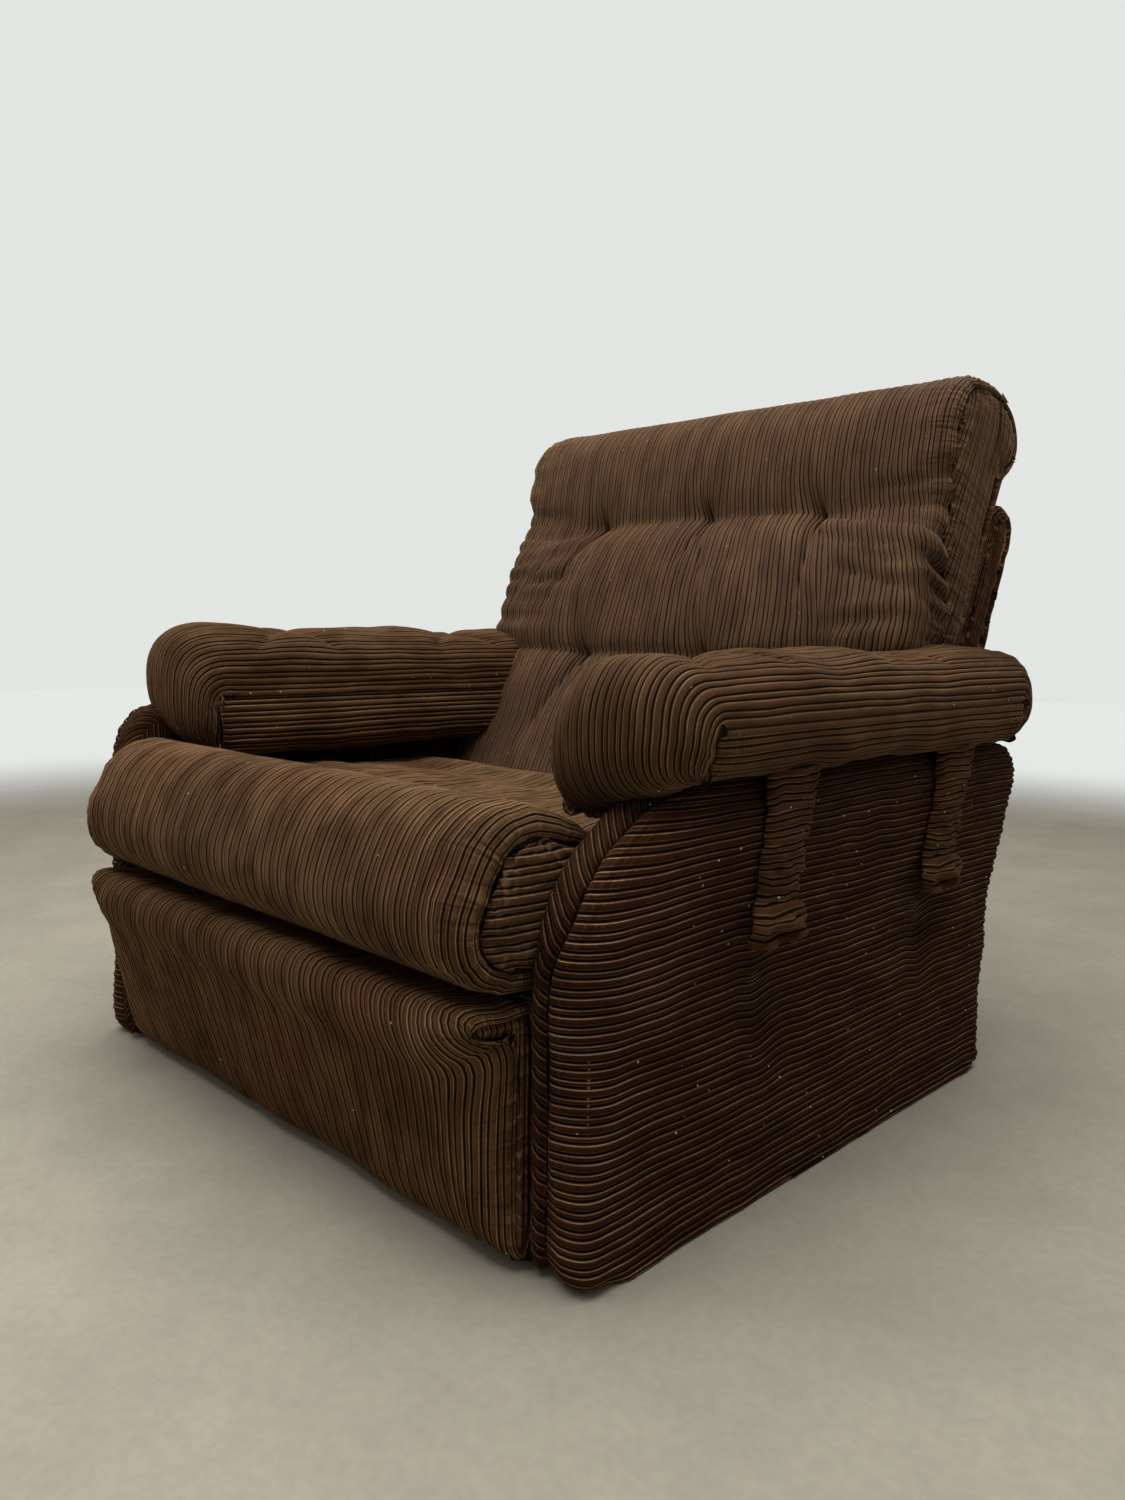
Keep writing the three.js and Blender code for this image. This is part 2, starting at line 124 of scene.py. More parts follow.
def joined(*runs):
    """Runs of stations end to end, each shared end kept once."""
    return np.concatenate([runs[0]] + [run[1:] for run in runs[1:]])


def ease(x):
    """A smooth step from 0 to 1."""
    x = np.clip(x, 0, 1)
    return x * x * (3 - 2 * x)


def hump(x, width):
    """1 at 0, falling smoothly to nothing over a few widths."""
    return np.exp(-(x / width) ** 2)


def wander(x, y, seed):
    """Smooth wandering values from -1 to 1, about one change per unit."""
    size = 64
    table = np.random.default_rng(seed).uniform(-1, 1, (size, size))
    x, y = np.broadcast_arrays(np.asarray(x, float), np.asarray(y, float))
    column, row = np.floor(x).astype(int), np.floor(y).astype(int)
    fx, fy = ease(x - column), ease(y - row)
    (x0, x1), (y0, y1) = ((start % size, (start + 1) % size) for start in (column, row))
    a, b, c, d = table[x0, y0], table[x1, y0], table[x0, y1], table[x1, y1]
    return (a * (1 - fx) + b * fx) * (1 - fy) + (c * (1 - fx) + d * fx) * fy


def unit(vectors):
    """The same directions, one long."""
    return vectors / np.maximum(np.linalg.norm(vectors, axis=-1, keepdims=True), 1e-9)


def spline(points, closed=False):
    """Close points on a smooth curve through the given ones."""
    p = np.array(points, float)
    if closed:
        p = np.vstack([p[-1:], p, p[:2]])
    else:
        p = np.vstack([2 * p[0] - p[1], p, 2 * p[-1] - p[-2]])
    out = []
    t = np.linspace(0, 1, 24, endpoint=False)[:, None]
    for a, b, c, d in zip(p, p[1:], p[2:], p[3:]):
        ab, bc, cd = (max(np.linalg.norm(y - x), 1e-6) ** 0.5 for x, y in ((a, b), (b, c), (c, d)))
        leave = (c - b) + bc * ((b - a) / ab - (c - a) / (ab + bc))
        arrive = (c - b) + bc * ((d - c) / cd - (d - b) / (bc + cd))
        out.append((2 * t**3 - 3 * t**2 + 1) * b + (t**3 - 2 * t**2 + t) * leave
                   + (3 * t**2 - 2 * t**3) * c + (t**3 - t**2) * arrive)
    return np.vstack(out + [p[-2:-1]])


class Track:
    """A curve that cloth follows, by distance along it."""

    def __init__(self, points, closed=False):
        self.points = spline(points, closed)
        self.closed = closed
        gaps = np.linalg.norm(np.diff(self.points, axis=0), axis=1)
        self.places = np.concatenate([[0], np.cumsum(gaps)])
        self.length = self.places[-1]
        x, y = self.points[:, 0], self.points[:, 1]
        area = np.sum(x[:-1] * y[1:] - x[1:] * y[:-1]) + x[-1] * y[0] - x[0] * y[-1]
        self.turn = 1 if area > 0 else -1

    def at(self, place):
        """The points at these distances along the curve."""
        place = np.mod(place, self.length) if self.closed else place
        return np.stack([np.interp(place, self.places, axis) for axis in self.points.T], -1)

    def inward(self, place, reach=4.0):
        """Unit directions towards the inside of the curve."""
        ahead = place + reach if self.closed else np.minimum(place + reach, self.length)
        behind = place - reach if self.closed else np.maximum(place - reach, 0)
        along = unit(self.at(ahead) - self.at(behind))
        return np.stack([-along[..., 1], along[..., 0]], -1) * self.turn

    def find(self, *point):
        """The distance along the curve where it passes closest to a point."""
        return self.places[np.argmin(np.linalg.norm(self.points - np.array(point), axis=1))]


def edge_distance(outline, a, b):
    """Distance from each point (a, b) to an outline given as close points."""
    start, end = outline[:-1], outline[1:]
    span = end - start
    size = np.maximum((span**2).sum(1), 1e-9)
    points = np.stack([a.ravel(), b.ravel()], -1)
    best = np.full(len(points), 1e9)
    for s, d, q in zip(start, span, size):
        t = np.clip(((points - s) @ d) / q, 0, 1)
        best = np.minimum(best, ((points - s - t[:, None] * d) ** 2).sum(1))
    return np.sqrt(best).reshape(a.shape)


def cuts(outline, axis, levels):
    """Where level lines first meet and last leave an outline; axis is the one that the lines run along."""
    along, across = outline[:, axis], outline[:, 1 - axis]
    a, b = across[:-1], across[1:]
    first, last = [], []
    for level in levels:
        hit = (a - level) * (b - level) <= 0
        t = (level - a[hit]) / np.where(np.abs(b - a)[hit] < 1e-9, 1e-9, (b - a)[hit])
        cut = along[:-1][hit] + t * (along[1:] - along[:-1])[hit]
        first.append(cut.min())
        last.append(cut.max())
    return np.array(first), np.array(last)


def run_length(grid):
    """Distance down each column of a grid of points."""
    gaps = np.linalg.norm(np.diff(grid, axis=0), axis=-1)
    return np.concatenate([np.zeros((1, grid.shape[1])), np.cumsum(gaps, 0)])


class Cloth:
    """One sheet of corduroy: a grid of points, with where each lies across and along the wales."""

    def __init__(self, points, across, along, centre, ring=False):
        self.points = np.array(points, float)
        shape = self.points.shape[:2]
        self.across = np.broadcast_to(across, shape).astype(float)
        self.along = np.broadcast_to(along, shape).astype(float)
        self.centre = np.array(centre, float)
        self.ring = ring
        self.seam = np.full(shape, FAR_FROM_SEAM)
        _, _, out = self.directions(1)
        self.side = 1 if np.sum(out * (self.points - self.centre)) > 0 else -1

    def directions(self, side=None):
        """Unit directions across the wales, along them, and out of the cloth."""
        p = np.concatenate([self.points[-1:], self.points, self.points[:1]]) if self.ring else self.points
        along = np.gradient(p, axis=0)
        along = unit(along[1:-1] if self.ring else along)
        across = unit(np.gradient(self.points, axis=1))
        out = unit(np.cross(across, along)) * (self.side if side is None else side)
        return across, along, out

    def move(self, across=0.0, along=0.0, out=0.0):
        """Shifts each point across its wale, along it and out of the cloth."""
        a, b, c = self.directions()
        shape = self.across.shape + (1,)
        step = [np.broadcast_to(x, self.across.shape).reshape(shape) for x in (across, along, out)]
        self.points = self.points + a * step[0] + b * step[1] + c * step[2]
        return self

    def raise_wales(self, keep=1.0):
        """Presses the grooves in; keep is 0 where the cloth is sewn flat."""
        return self.move(out=wale_relief(self.across) * keep - (1 - keep) * WIDE_RISE)

    def sew(self, *edges, flat=FLAT_BY_SEAM, depth=ALLOWANCE):
        """Raises the wales, flat at the seam, and turns the edges in."""
        return self.raise_wales(ease(self.seam / flat)).tuck(*edges, depth=depth)

    def tuck(self, *edges, depth=ALLOWANCE):
        """Turns edges of the sheet down into the piece, as a seam allowance is."""
        _, _, out = self.directions()
        for edge in edges:
            pick = {"first_row": np.s_[:1], "last_row": np.s_[-1:],
                    "first_line": np.s_[:, :1], "last_line": np.s_[:, -1:]}[edge]
            axis = 0 if "row" in edge else 1
            extra = self.points[pick] - out[pick] * depth
            step = 1 if edge.startswith("first") else -1

            def grown(new, old):
                return np.concatenate([new, old][::step], axis)

            self.points, out = grown(extra, self.points), grown(out[pick], out)
            self.across = grown(self.across[pick], self.across)
            self.along = grown(self.along[pick], self.along)
            self.seam = grown(self.seam[pick], self.seam)
        return self

    def mirrored(self):
        """The same sheet on the other side of the chair."""
        other = Cloth.__new__(Cloth)
        other.__dict__.update(self.__dict__)
        other.points = self.points * (-1, 1, 1)
        other.side = -self.side
        return other


# ---- what happens to padded cloth: each returns moves (across, along, out) -------------------------
def button(x, y, at, depth, reach, gather=0.35):
    """A buttoned tuft: the cloth is drawn in to one point."""
    dx, dy = x - at[0], y - at[1]
    far = np.sqrt(dx * dx + dy * dy + 9)
    pull = gather * hump(far, reach)
    return np.array([-dx * pull, -dy * pull, -depth * np.exp(-far / (0.55 * reach))])


def fold(x, y, start, end, depth, width, gather=0.0, taper=0.25):
    """A crease along the line from start to end, shallow towards both ends."""
    start, end = np.array(start, float), np.array(end, float)
    length = np.linalg.norm(end - start)
    dx, dy = (end - start) / length
    t = ((x - start[0]) * dx + (y - start[1]) * dy) / length
    off = (x - start[0]) * -dy + (y - start[1]) * dx
    hold = ease(t / taper + 0.5) * ease((1 - t) / taper + 0.5)
    near = np.exp(-np.abs(off) / width) * hold
    pull = gather * off * hump(off, 2 * width) * hold
    return np.array([pull * dy, -pull * dx, -depth * near])


def puckers(distance, place, seed, depth=2.5, pitch=15.0, reach=22.0):
    """Small gathers that run into a seam; distance is from the seam, place along it."""
    wave = wander(place / pitch, distance / 60, seed) + 0.5 * wander(place / (0.45 * pitch), 0.0, seed + 1)
    return depth * wave * np.exp(-distance / reach) * (1 - np.exp(-distance / 3.5))


def seam_valley(distance, depth=2.5):
    """The dip that a seam pulls into the padding."""
    return -depth * hump(distance, 5.5)


def push(out, across=0.0):
    """A move out of the cloth, and across its wales."""
    return np.array(np.broadcast_arrays(across, 0.0 * out, out))


def total(moves):
    """All of these moves together, as Cloth.move takes them."""
    return dict(zip(("across", "along", "out"), sum(moves)))


# ---- cutting sheets --------------------------------------------------------------------------------
def side_plane(x, y, z):
    """Points in the chair's own axes: a place seen from the side, and X."""
    return np.stack(np.broadcast_arrays(x, y, z), -1)


def back_plane(x, n, s):
    """n runs through the reclined back, s up along it."""
    return side_plane(x, BACK_FOOT[0] + n * math.cos(RECLINE) + s * math.sin(RECLINE),
                      BACK_FOOT[1] - n * math.sin(RECLINE) + s * math.cos(RECLINE))


def over(track, rows, half, tuck, turn, plane, centre, lines=WALE_LINES):
    """A sheet that follows a track in the side plane and is as wide as the chair. Its two edges round a
    corner, turn wide, and run back to the side seams, tuck deep in all."""
    rows = np.asarray(rows, float)
    half, tuck, turn = (np.broadcast_to(np.asarray(x, float), rows.shape)[:, None]
                        for x in (half, tuck, turn))
    dip = np.minimum(tuck, turn)
    arc = QUARTER * np.sqrt((turn**2 + dip**2) / 2)
    reach = half - turn + arc + tuck - dip
    widest = reach.max()
    across = wale_lines(-widest, widest, lines)[None, :]
    distance = np.abs(across) / widest * reach
    angle = np.clip((distance - (half - turn)) / arc, 0, 1) * QUARTER
    x = np.where(distance < half - turn, distance, half - turn + turn * np.sin(angle)) * np.sign(across)
    inset = dip * (1 - np.cos(angle)) + np.maximum(distance - (half - turn) - arc, 0)
    line = track.at(rows)[:, None, :] + track.inward(rows)[:, None, :] * inset[..., None]
    sheet = Cloth(plane(x, line[..., 0], line[..., 1]), across, rows[:, None], centre, ring=track.closed)
    sheet.seam = reach - distance          # distance from the side seam
    sheet.x, sheet.v = across + 0 * rows[:, None], rows[:, None] + 0 * across
    return sheet


def seam_line(track, rows, tuck):
    """The closed line of a side seam that lies a tuck inside the track."""
    tuck = np.broadcast_to(np.asarray(tuck, float), np.shape(rows))
    points = track.at(rows) + track.inward(rows) * tuck[:, None]
    return np.vstack([points, points[:1]])


def end_sheet(outline, wales_along, side, face, plane, centre, crown=9.0, row=ROW):
    """The boxing on the end of a cushion: straight wales inside the outline of its seam.
    wales_along is 0 or 1, the axis of the outline that they follow; face is X at the seam, or gives it."""
    other = outline[:, 1 - wales_along]
    low, high = other.min() + 1, other.max() - 1
    across = wale_lines(low, high)
    first, last = cuts(outline, wales_along, across)
    t = steps(0, 1, row / (last - first).max())[:, None]
    t = t - 0.04 * np.sin(2 * math.pi * t)        # closer together by the seam
    along = first + (last - first) * t
    level = across[None, :] + 0 * along
    spot = (along, level) if wales_along == 0 else (level, along)
    away = edge_distance(outline[:: max(len(outline) // 150, 1)], *spot)
    x = (face(*spot) if callable(face) else face) - SET_BACK + crown * (1 - np.exp(-away / 22))
    sheet = Cloth(plane(side * x, *spot), level, along, centre)
    sheet.seam, sheet.a, sheet.b = away, spot[0], spot[1]
    return sheet


# ---- making a piece --------------------------------------------------------------------------------
def make_piece(name, sheets, material, nodes):
    """One object from its sheets of cloth, in place of the CAD nodes it stands for."""
    points, quads, wales, seams, base = [], [], [], [], 0
    for sheet in sheets:
        rows, columns = sheet.points.shape[:2]
        index = np.arange(rows * columns).reshape(rows, columns) + base
        if sheet.ring:
            index = np.vstack([index, index[:1]])
        corners = [index[:-1, :-1], index[:-1, 1:], index[1:, 1:], index[1:, :-1]]
        points.append(sheet.points.reshape(-1, 3) * MM)
        quads.append(np.stack([corner.ravel() for corner in corners[::sheet.side]], -1))
        wales.append(np.stack([sheet.across, sheet.along], -1).reshape(-1, 2) * MM)
        seams.append(np.stack([sheet.seam, sheet.along], -1).reshape(-1, 2) * MM)
        base += rows * columns
    points, quads, wales, seams = (np.vstack(parts) for parts in (points, quads, wales, seams))
    points[:, 2] = np.maximum(points[:, 2], FLOOR_GAP * MM)
    mesh = bpy.data.meshes.new(name)
    mesh.vertices.add(len(points))
    mesh.vertices.foreach_set("co", points.astype(np.float32).ravel())
    mesh.loops.add(quads.size)
    mesh.loops.foreach_set("vertex_index", quads.astype(np.int32).ravel())
    mesh.polygons.add(len(quads))
    mesh.polygons.foreach_set("loop_start", np.arange(0, quads.size, 4, dtype=np.int32))
    mesh.update(calc_edges=True)
    for layer, values in (("wales", wales), ("seams", seams)):
        uv = values[quads.ravel()].astype(np.float32)
        mesh.uv_layers.new(name=layer).data.foreach_set("uv", uv.ravel())
    mesh.polygons.foreach_set("use_smooth", np.ones(len(quads), bool))
    mesh.materials.append(material)
    mesh.update()
    piece = bpy.data.objects.new(name, mesh)
    bpy.context.scene.collection.objects.link(piece)
    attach(piece, "root")
    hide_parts(*nodes)
    return piece


# ---- seat cushion ----------------------------------------------------------------------------------
SEAT_CENTRE = (0, -200, 320)


def build_seat(material, tuft_depth):
    """The seat cushion: one sheet from the rear over the top and round the roll, and two ends."""
    half = SEAT_HIGH[0] + 0.5
    front, deck = SEAT_LOW[1], SEAT_LOW[2] + 1
    track = Track([(40, deck + 1), (52, 262), (88, 335), (78, 352), (30, 357), (-80, 366), (-180, 371),
                   (-270, 371), (-330, 382), (-375, 402), (-415, 415), (-450, 414), (-482, 396),
                   (-503, 362), (front - 3, 322), (-506, 288), (-485, 266), (-455, 254), (-400, deck + 1),
                   (-180, deck)], closed=True)
    top, crest = track.find(40, 357), track.find(-440, 415)
    nose, crease = track.find(front - 3, 322), track.find(-455, 254)
    rows = joined(steps(0, top, 40), steps(top, crease), steps(crease, track.length, 60))[:-1]
    roll = hump(rows - (crest + nose) / 2, 110.0)
    tuck = 22 + 12 * roll
    sheet = over(track, rows, half, tuck, 20 + 14 * roll, side_plane, SEAT_CENTRE, COARSE_LINES)
    x, v = sheet.x, sheet.v
    row = track.find(-262, 371)
    tufts = [(-168, row), (96, row - 14), (330, row - 22), (-400, row + 6)]
    lumps = 5.0 * wander(x / 95, v / 80, 3) + 2.2 * wander(x / 40, v / 38, 4)
    on_top = ease((crest - 60 - v) / 90) * ease((v - top + 20) / 40)
    moves = [button(x, v, tuft, tuft_depth, 56, 0.45) for tuft in tufts]
    for a, b in ((3, 0), (0, 1), (1, 2)):
        moves.append(fold(x, v, tufts[a], tufts[b], 11, 16, 0.25, 0.15))
    for (tx, tv), lean in zip(tufts, (60, -45, -30, 40)):
        moves.append(fold(x, v, (tx, tv), (tx + lean, tv - 190), 13, 20, 0.25, 0.4))
        moves.append(fold(x, v, (tx, tv), (tx + 0.3 * lean, tv + 95), 10, 18, 0.1, 0.5))
    sag = -14 * hump(x, 260) * ease((crest - 120 - v) / 120) * ease((v - top) / 60)
    drift = 7 * wander(x / 70, v / 60, 6) * on_top + 1.1 * wander(x / 26, v / 50, 7)
    moves.append(push(lumps * (0.35 + 0.65 * on_top) + sag, drift))
    moves.append(push(puckers(sheet.seam, v, 11, 4.6, 12, 34) + seam_valley(sheet.seam)))
    sheet.move(**total(moves)).sew("first_line", "last_line")
    sheets = [sheet]
    fine = np.unique(np.concatenate([rows, steps(top, crease, 4)]))
    outline = seam_line(track, fine, np.interp(fine, rows, tuck))
    for side in SIDES.values():
        end = end_sheet(outline, 0, side, half + 3, side_plane, SEAT_CENTRE, crown=12)
        end.move(out=puckers(end.seam, end.b + end.a, 21, 3.6, 13, 24)
                 + 1.5 * wander(end.a / 60, end.b / 30, 5))
        sheets.append(end.sew(*ALL_EDGES, flat=FLAT_BY_END_SEAM))
    return make_piece("seat_cushion_cloth", sheets, material, ["seat_cushion"])


# ---- back cushion ----------------------------------------------------------------------------------
BACK_CENTRE = back_plane(0, 80, 250)


def build_back(material, tuft_depth):
    """The back cushion: one sheet up its face, over the head roll and down behind, and two ends."""
    depth = 150.0
    base, spread = BACK_HALF - 0.3, 11      # half the width between the arms, and what is added above them
    track = Track([(40, -112), (6, -118), (0, -60), (2, 60), (5, 130), (9, 184), (1, 235), (-6, 300),
                   (-4, 360), (5, 403), (-6, 446), (-16, 490), (-17, 530), (-3, 566), (24, 590),
                   (58, 604), (97, 609), (136, 604), (164, 586), (178, 560), (176, 530), (163, 510),
                   (depth + 1, 494), (depth, 440), (depth, 200), (depth, 0), (depth, -60), (120, -80)],
                  closed=True)
    low, seam_1, seam_2 = track.find(2, 60), track.find(9, 184), track.find(5, 403)
    crown, nape = track.find(97, 609), track.find(163, 510)
    rows = joined(steps(0, track.find(0, -60), 40), steps(track.find(0, -60), low, 16), steps(low, nape),
                  steps(nape, track.length, 50))[:-1]
    face = ease((seam_2 + 60 - rows) / 240)
    tuck = np.where(rows < crown, 18 + 78 * face, 18) * ease((track.length - rows) / 40 + 0.2)
    above_arms = ease((rows - seam_1 + 44) / 90) * ease((nape + 60 - rows) / 50)
    sheet = over(track, rows, base + spread * above_arms, tuck, 30, back_plane, BACK_CENTRE, COARSE_LINES)
    x, v, seam = sheet.x, sheet.v, sheet.seam
    upper = [(-236, seam_2), (12, seam_2 + 2), (240, seam_2 - 4)]
    lower = [(-172, seam_1), (68, seam_1), (268, seam_1)]
    moves = [button(x, v, tuft, tuft_depth, 34, 0.45) for tuft in upper]
    moves += [button(x, v, tuft, 0.8 * tuft_depth, 50, 0.4) for tuft in lower]
    edge = sheet.across.max()
    for row, deep in ((upper, 9), (lower, 15)):
        ends = [(-edge, row[0][1] + 6)] + row + [(edge, row[-1][1] + 6)]
        for a, b in zip(ends, ends[1:]):
            moves.append(fold(x, v, a, b, deep, 8, 0.25, 0.1))
    for tuft, lean in zip(upper, (-34, 30, -26)):
        for dx, dv, fold_depth, width, gather in ((lean, -130, 8, 12, 0.35), (-0.8 * lean, -76, 5, 9, 0.2),
                                                  (90, -26, 4.5, 7, 0.2)):
            moves.append(fold(x, v, tuft, (tuft[0] + dx, tuft[1] + dv), fold_depth, width, gather, 0.5))
    for tuft in lower:
        for dx, dv, fold_depth, width, taper in ((-30, 90, 6, 18, 0.5), (-65, -150, 9, 18, 0.3),
                                                 (50, -120, 6, 16, 0.3)):
            moves.append(fold(x, v, tuft, (tuft[0] + dx, tuft[1] + dv), fold_depth, width, 0.2, taper))
    for side in (-1, 1):
        for at, long in ((30, 60), (-22, 120), (-46, 80), (-84, 130), (-122, 90), (-160, 110)):
            start = (side * edge, seam_2 + at)
            moves.append(fold(x, v, start, (side * (edge - 90 - long), seam_2 + 0.6 * at), 6.5, 7, 0.3, 0.3))
    below = ease((seam_2 + 24 - v) / 40)
    lumps = (2.6 * wander(x / 90, v / 70, 31) + 1.2 * wander(x / 34, v / 50, 32)) * (0.25 + 0.75 * below)
    gather = puckers(seam, v, 33, 4.0, 14, 55) * ease((crown - v) / 60)
    slack = 5.5 * wander(v / 17, x / 150, 35) * np.exp(-np.maximum(seam - 130, 0) / 90) * below
    slack = slack * ease((v - seam_1 + 20) / 40)
    moves.append(push(lumps + slack + gather + seam_valley(seam), wander(x / 24, v / 45, 34)))
    sheet.move(**total(moves)).sew("first_line", "last_line")
    sheets = [sheet]
    fine = joined(steps(low, nape, 4), steps(nape, track.find(depth, 60), 12))
    outline = seam_line(track, fine, np.interp(fine, rows, tuck))
    star = (44.0, 578.0)        # where the cloth on the end of the head roll is drawn to a point
    for side in SIDES.values():
        end = end_sheet(outline, 1, side, lambda n, s: base + spread * ease((s - 140) / 90), back_plane,
                        BACK_CENTRE)
        far = np.hypot(end.a - star[0], end.b - star[1])
        pull = 0.42 * hump(far, 62)
        end.move(across=(star[0] - end.a) * pull, along=(star[1] - end.b) * pull,
                 out=puckers(end.seam, end.b * 1.1 + end.a * 0.4, 41, 1.6, 14, 16)
                 - 9 * np.exp(-far / 16) + 1.5 * wander(end.a / 40, end.b / 70, 42))
        sheets.append(end.sew(*ALL_EDGES, flat=FLAT_BY_END_SEAM))
    return make_piece("back_cushion_cloth", sheets, material, ["back_cushion"])


# ---- back panel ------------------------------------------------------------------------------------
PANEL_CENTRE = back_plane(0, 197, 150)


def build_back_panel(material):
    """The padded panel behind the back cushion, down to the rear rail."""
    half = PANEL_HALF - 0.3
    track = Track([(158, -225), (154, -100), (154, 150), (154, 420), (162, 462), (180, 485), (203, 492),
                   (226, 484), (240, 462), (243, 420), (242, 150), (242, -200), (236, -236), (214, -250),
                   (180, -242)], closed=True)
    inner_top, foot = track.find(154, 420), track.find(236, -236)
    rows = joined(steps(0, inner_top, 60), steps(inner_top, foot, 12), steps(foot, track.length, 20))[:-1]
    sheet = over(track, rows, half, 20, 22, back_plane, PANEL_CENTRE, COARSE_LINES)
    x, v = sheet.x, sheet.v
    out = 2.4 * wander(x / 120, v / 110, 51) + puckers(sheet.seam, v, 52, 2.2, 14, 18)
    out -= 4 * hump(sheet.seam, 6)
    sheet.move(across=1.4 * wander(x / 40, v / 70, 53), out=out).sew("first_line", "last_line")
    outline = seam_line(track, joined(steps(0, track.length, 6))[:-1], 20)
    sheets = [sheet]
    for side in SIDES.values():
        end = end_sheet(outline, 1, side, half, back_plane, PANEL_CENTRE, crown=5, row=12)
        end.move(out=puckers(end.seam, end.b, 54, 2.5, 12, 16))
        sheets.append(end.sew(*ALL_EDGES, flat=FLAT_BY_END_SEAM))
    return make_piece("back_panel_cloth", sheets, material, ["back_panel_cover"])


# ---- apron -----------------------------------------------------------------------------------------
APRON_CENTRE = (0, -420, 130)


def build_apron(material):
    """The apron: a rounded brow at the top, and ends that tuck back behind the side covers."""
    half = APRON_HALF + 0.4
    track = Track([(-424, 242), (-455, 244), (-485, 250), (-503, 247), (-513, 232), (-512, 206),
                   (-501, 182), (-491, 150), (-480, 110), (-470, 74), (-457, 34), (-447, 16), (-434, 8),
                   (-424, 9), (-419, 20), (-419, 130), (-419, 225)], closed=True)
    top, hem = track.find(-455, 244), track.find(-434, 8)
    rows = joined(steps(0, top, 16), steps(top, hem, 9), steps(hem, track.length, 40))[:-1]
    spot = track.at(rows)
    tuck = np.where(spot[:, 0] < -428, np.maximum(-441 - spot[:, 0], 5), 5)
    tuck = np.minimum(tuck, 14 + 60 * ease((249 - spot[:, 1]) / 48))
    tuck = np.convolve(np.pad(tuck, 3, mode="edge"), np.ones(7) / 7, "valid")
    turn = 12 + 0.85 * tuck
    sheet = over(track, rows, half, tuck, turn, side_plane, APRON_CENTRE, COARSE_LINES)
    x, v = sheet.x, sheet.v
    brow = track.find(-513, 232)
    out = 3.2 * wander(x / 110, v / 90, 61) + 1.4 * wander(x / 36, v / 60, 62)
    out += 3 * hump(v - brow, 60) * wander(x / 48, 0, 63)
    out = out * ease(sheet.seam / 40)
    ear = (sheet.across.max() - 46.0, brow + 12)        # where the wales curl at the upper right corner
    spin = hump(x - ear[0], 40) * hump(v - ear[1], 44)
    sheet.move(across=1.6 * wander(x / 30, v / 60, 64) + 0.3 * spin * (v - ear[1]), out=out + 3 * spin)
    sheet.sew("first_line", "last_line")
    outline = seam_line(track, rows, tuck)
    sheets = [sheet]
    for side in SIDES.values():
        end = end_sheet(outline, 1, side, half, side_plane, APRON_CENTRE, crown=3, row=14)
        sheets.append(end.sew(*ALL_EDGES, flat=FLAT_BY_END_SEAM))
    return make_piece("apron_cloth", sheets, material, ["apron_pad"])


# ---- side covers -----------------------------------------------------------------------------------
SIDE_CENTRE = (418, -40, 215)
TOP_ROUND, FOOT_ROUND = 34.0, 5.0         # radii of the outer face at the top and at the hem
GUSSET_LIP = 15.0                         # radius where the gusset turns on to the inner face
STRAP_PLACES = ((-190, 9), (141, 8))      # Y of each strap, and how deep it draws the cover in
SIDE_FRONTS = {   # (Y, Z) up the front edge; the left panel has been pushed forward and its corner is fuller
    "right": [(-412, 2), (-427, 8), (-434, 24), (-436, 80), (-436, 150), (-436, 262), (-431, 308),
              (-418, 342), (-397, 369), (-370, 391), (-340, 409), (-300, 420), (-240, 427)],
    "left": [(-434, 2), (-448, 8), (-454, 24), (-456, 80), (-457, 150), (-458, 262), (-457, 330), (-451, 378),
             (-437, 406), (-412, 423), (-380, 429), (-330, SIDE_TOP), (-240, SIDE_TOP)]}


def side_outline(name):
    """The side panel from the side, counter-clockwise from its front foot: (Y, Z)."""
    return Track([*SIDE_FRONTS[name], (-150, SIDE_TOP), (-80, SIDE_TOP), (150, SIDE_TOP),
                  (340, SIDE_TOP), (384, 421), (405, 392), (399, 355), (372, 300), (350, 250),
                  (339, 205), (328, 110), (321, 48), (310, 16), (285, 2), (150, 1.5), (-200, 1.5)],
                 closed=True)


def gusset_seam(z):
    """X of the seam between the outer sheet and the bias gusset: it swings out over the front curve."""
    return 404 + 19 * ease((z - 262) / 75)


def side_levels():
    """Wale lines up the outer face of a side cover, and the height of each: it rounds over at the top and
    under at the hem."""
    shoulder = SIDE_TOP - TOP_ROUND
    across = wale_lines(FOOT_ROUND - FOOT_ROUND * QUARTER, shoulder + TOP_ROUND * QUARTER)
    angle = np.clip((across - shoulder) / TOP_ROUND, 0, QUARTER)
    level = np.where(across > shoulder, shoulder + TOP_ROUND * np.sin(angle), across)
    foot = np.clip((FOOT_ROUND - across) / FOOT_ROUND, 0, QUARTER)
    level = np.where(across < FOOT_ROUND, FOOT_ROUND - FOOT_ROUND * np.sin(foot) + 2, level)
    return across, np.clip(level, 2.2, SIDE_TOP - 0.4)


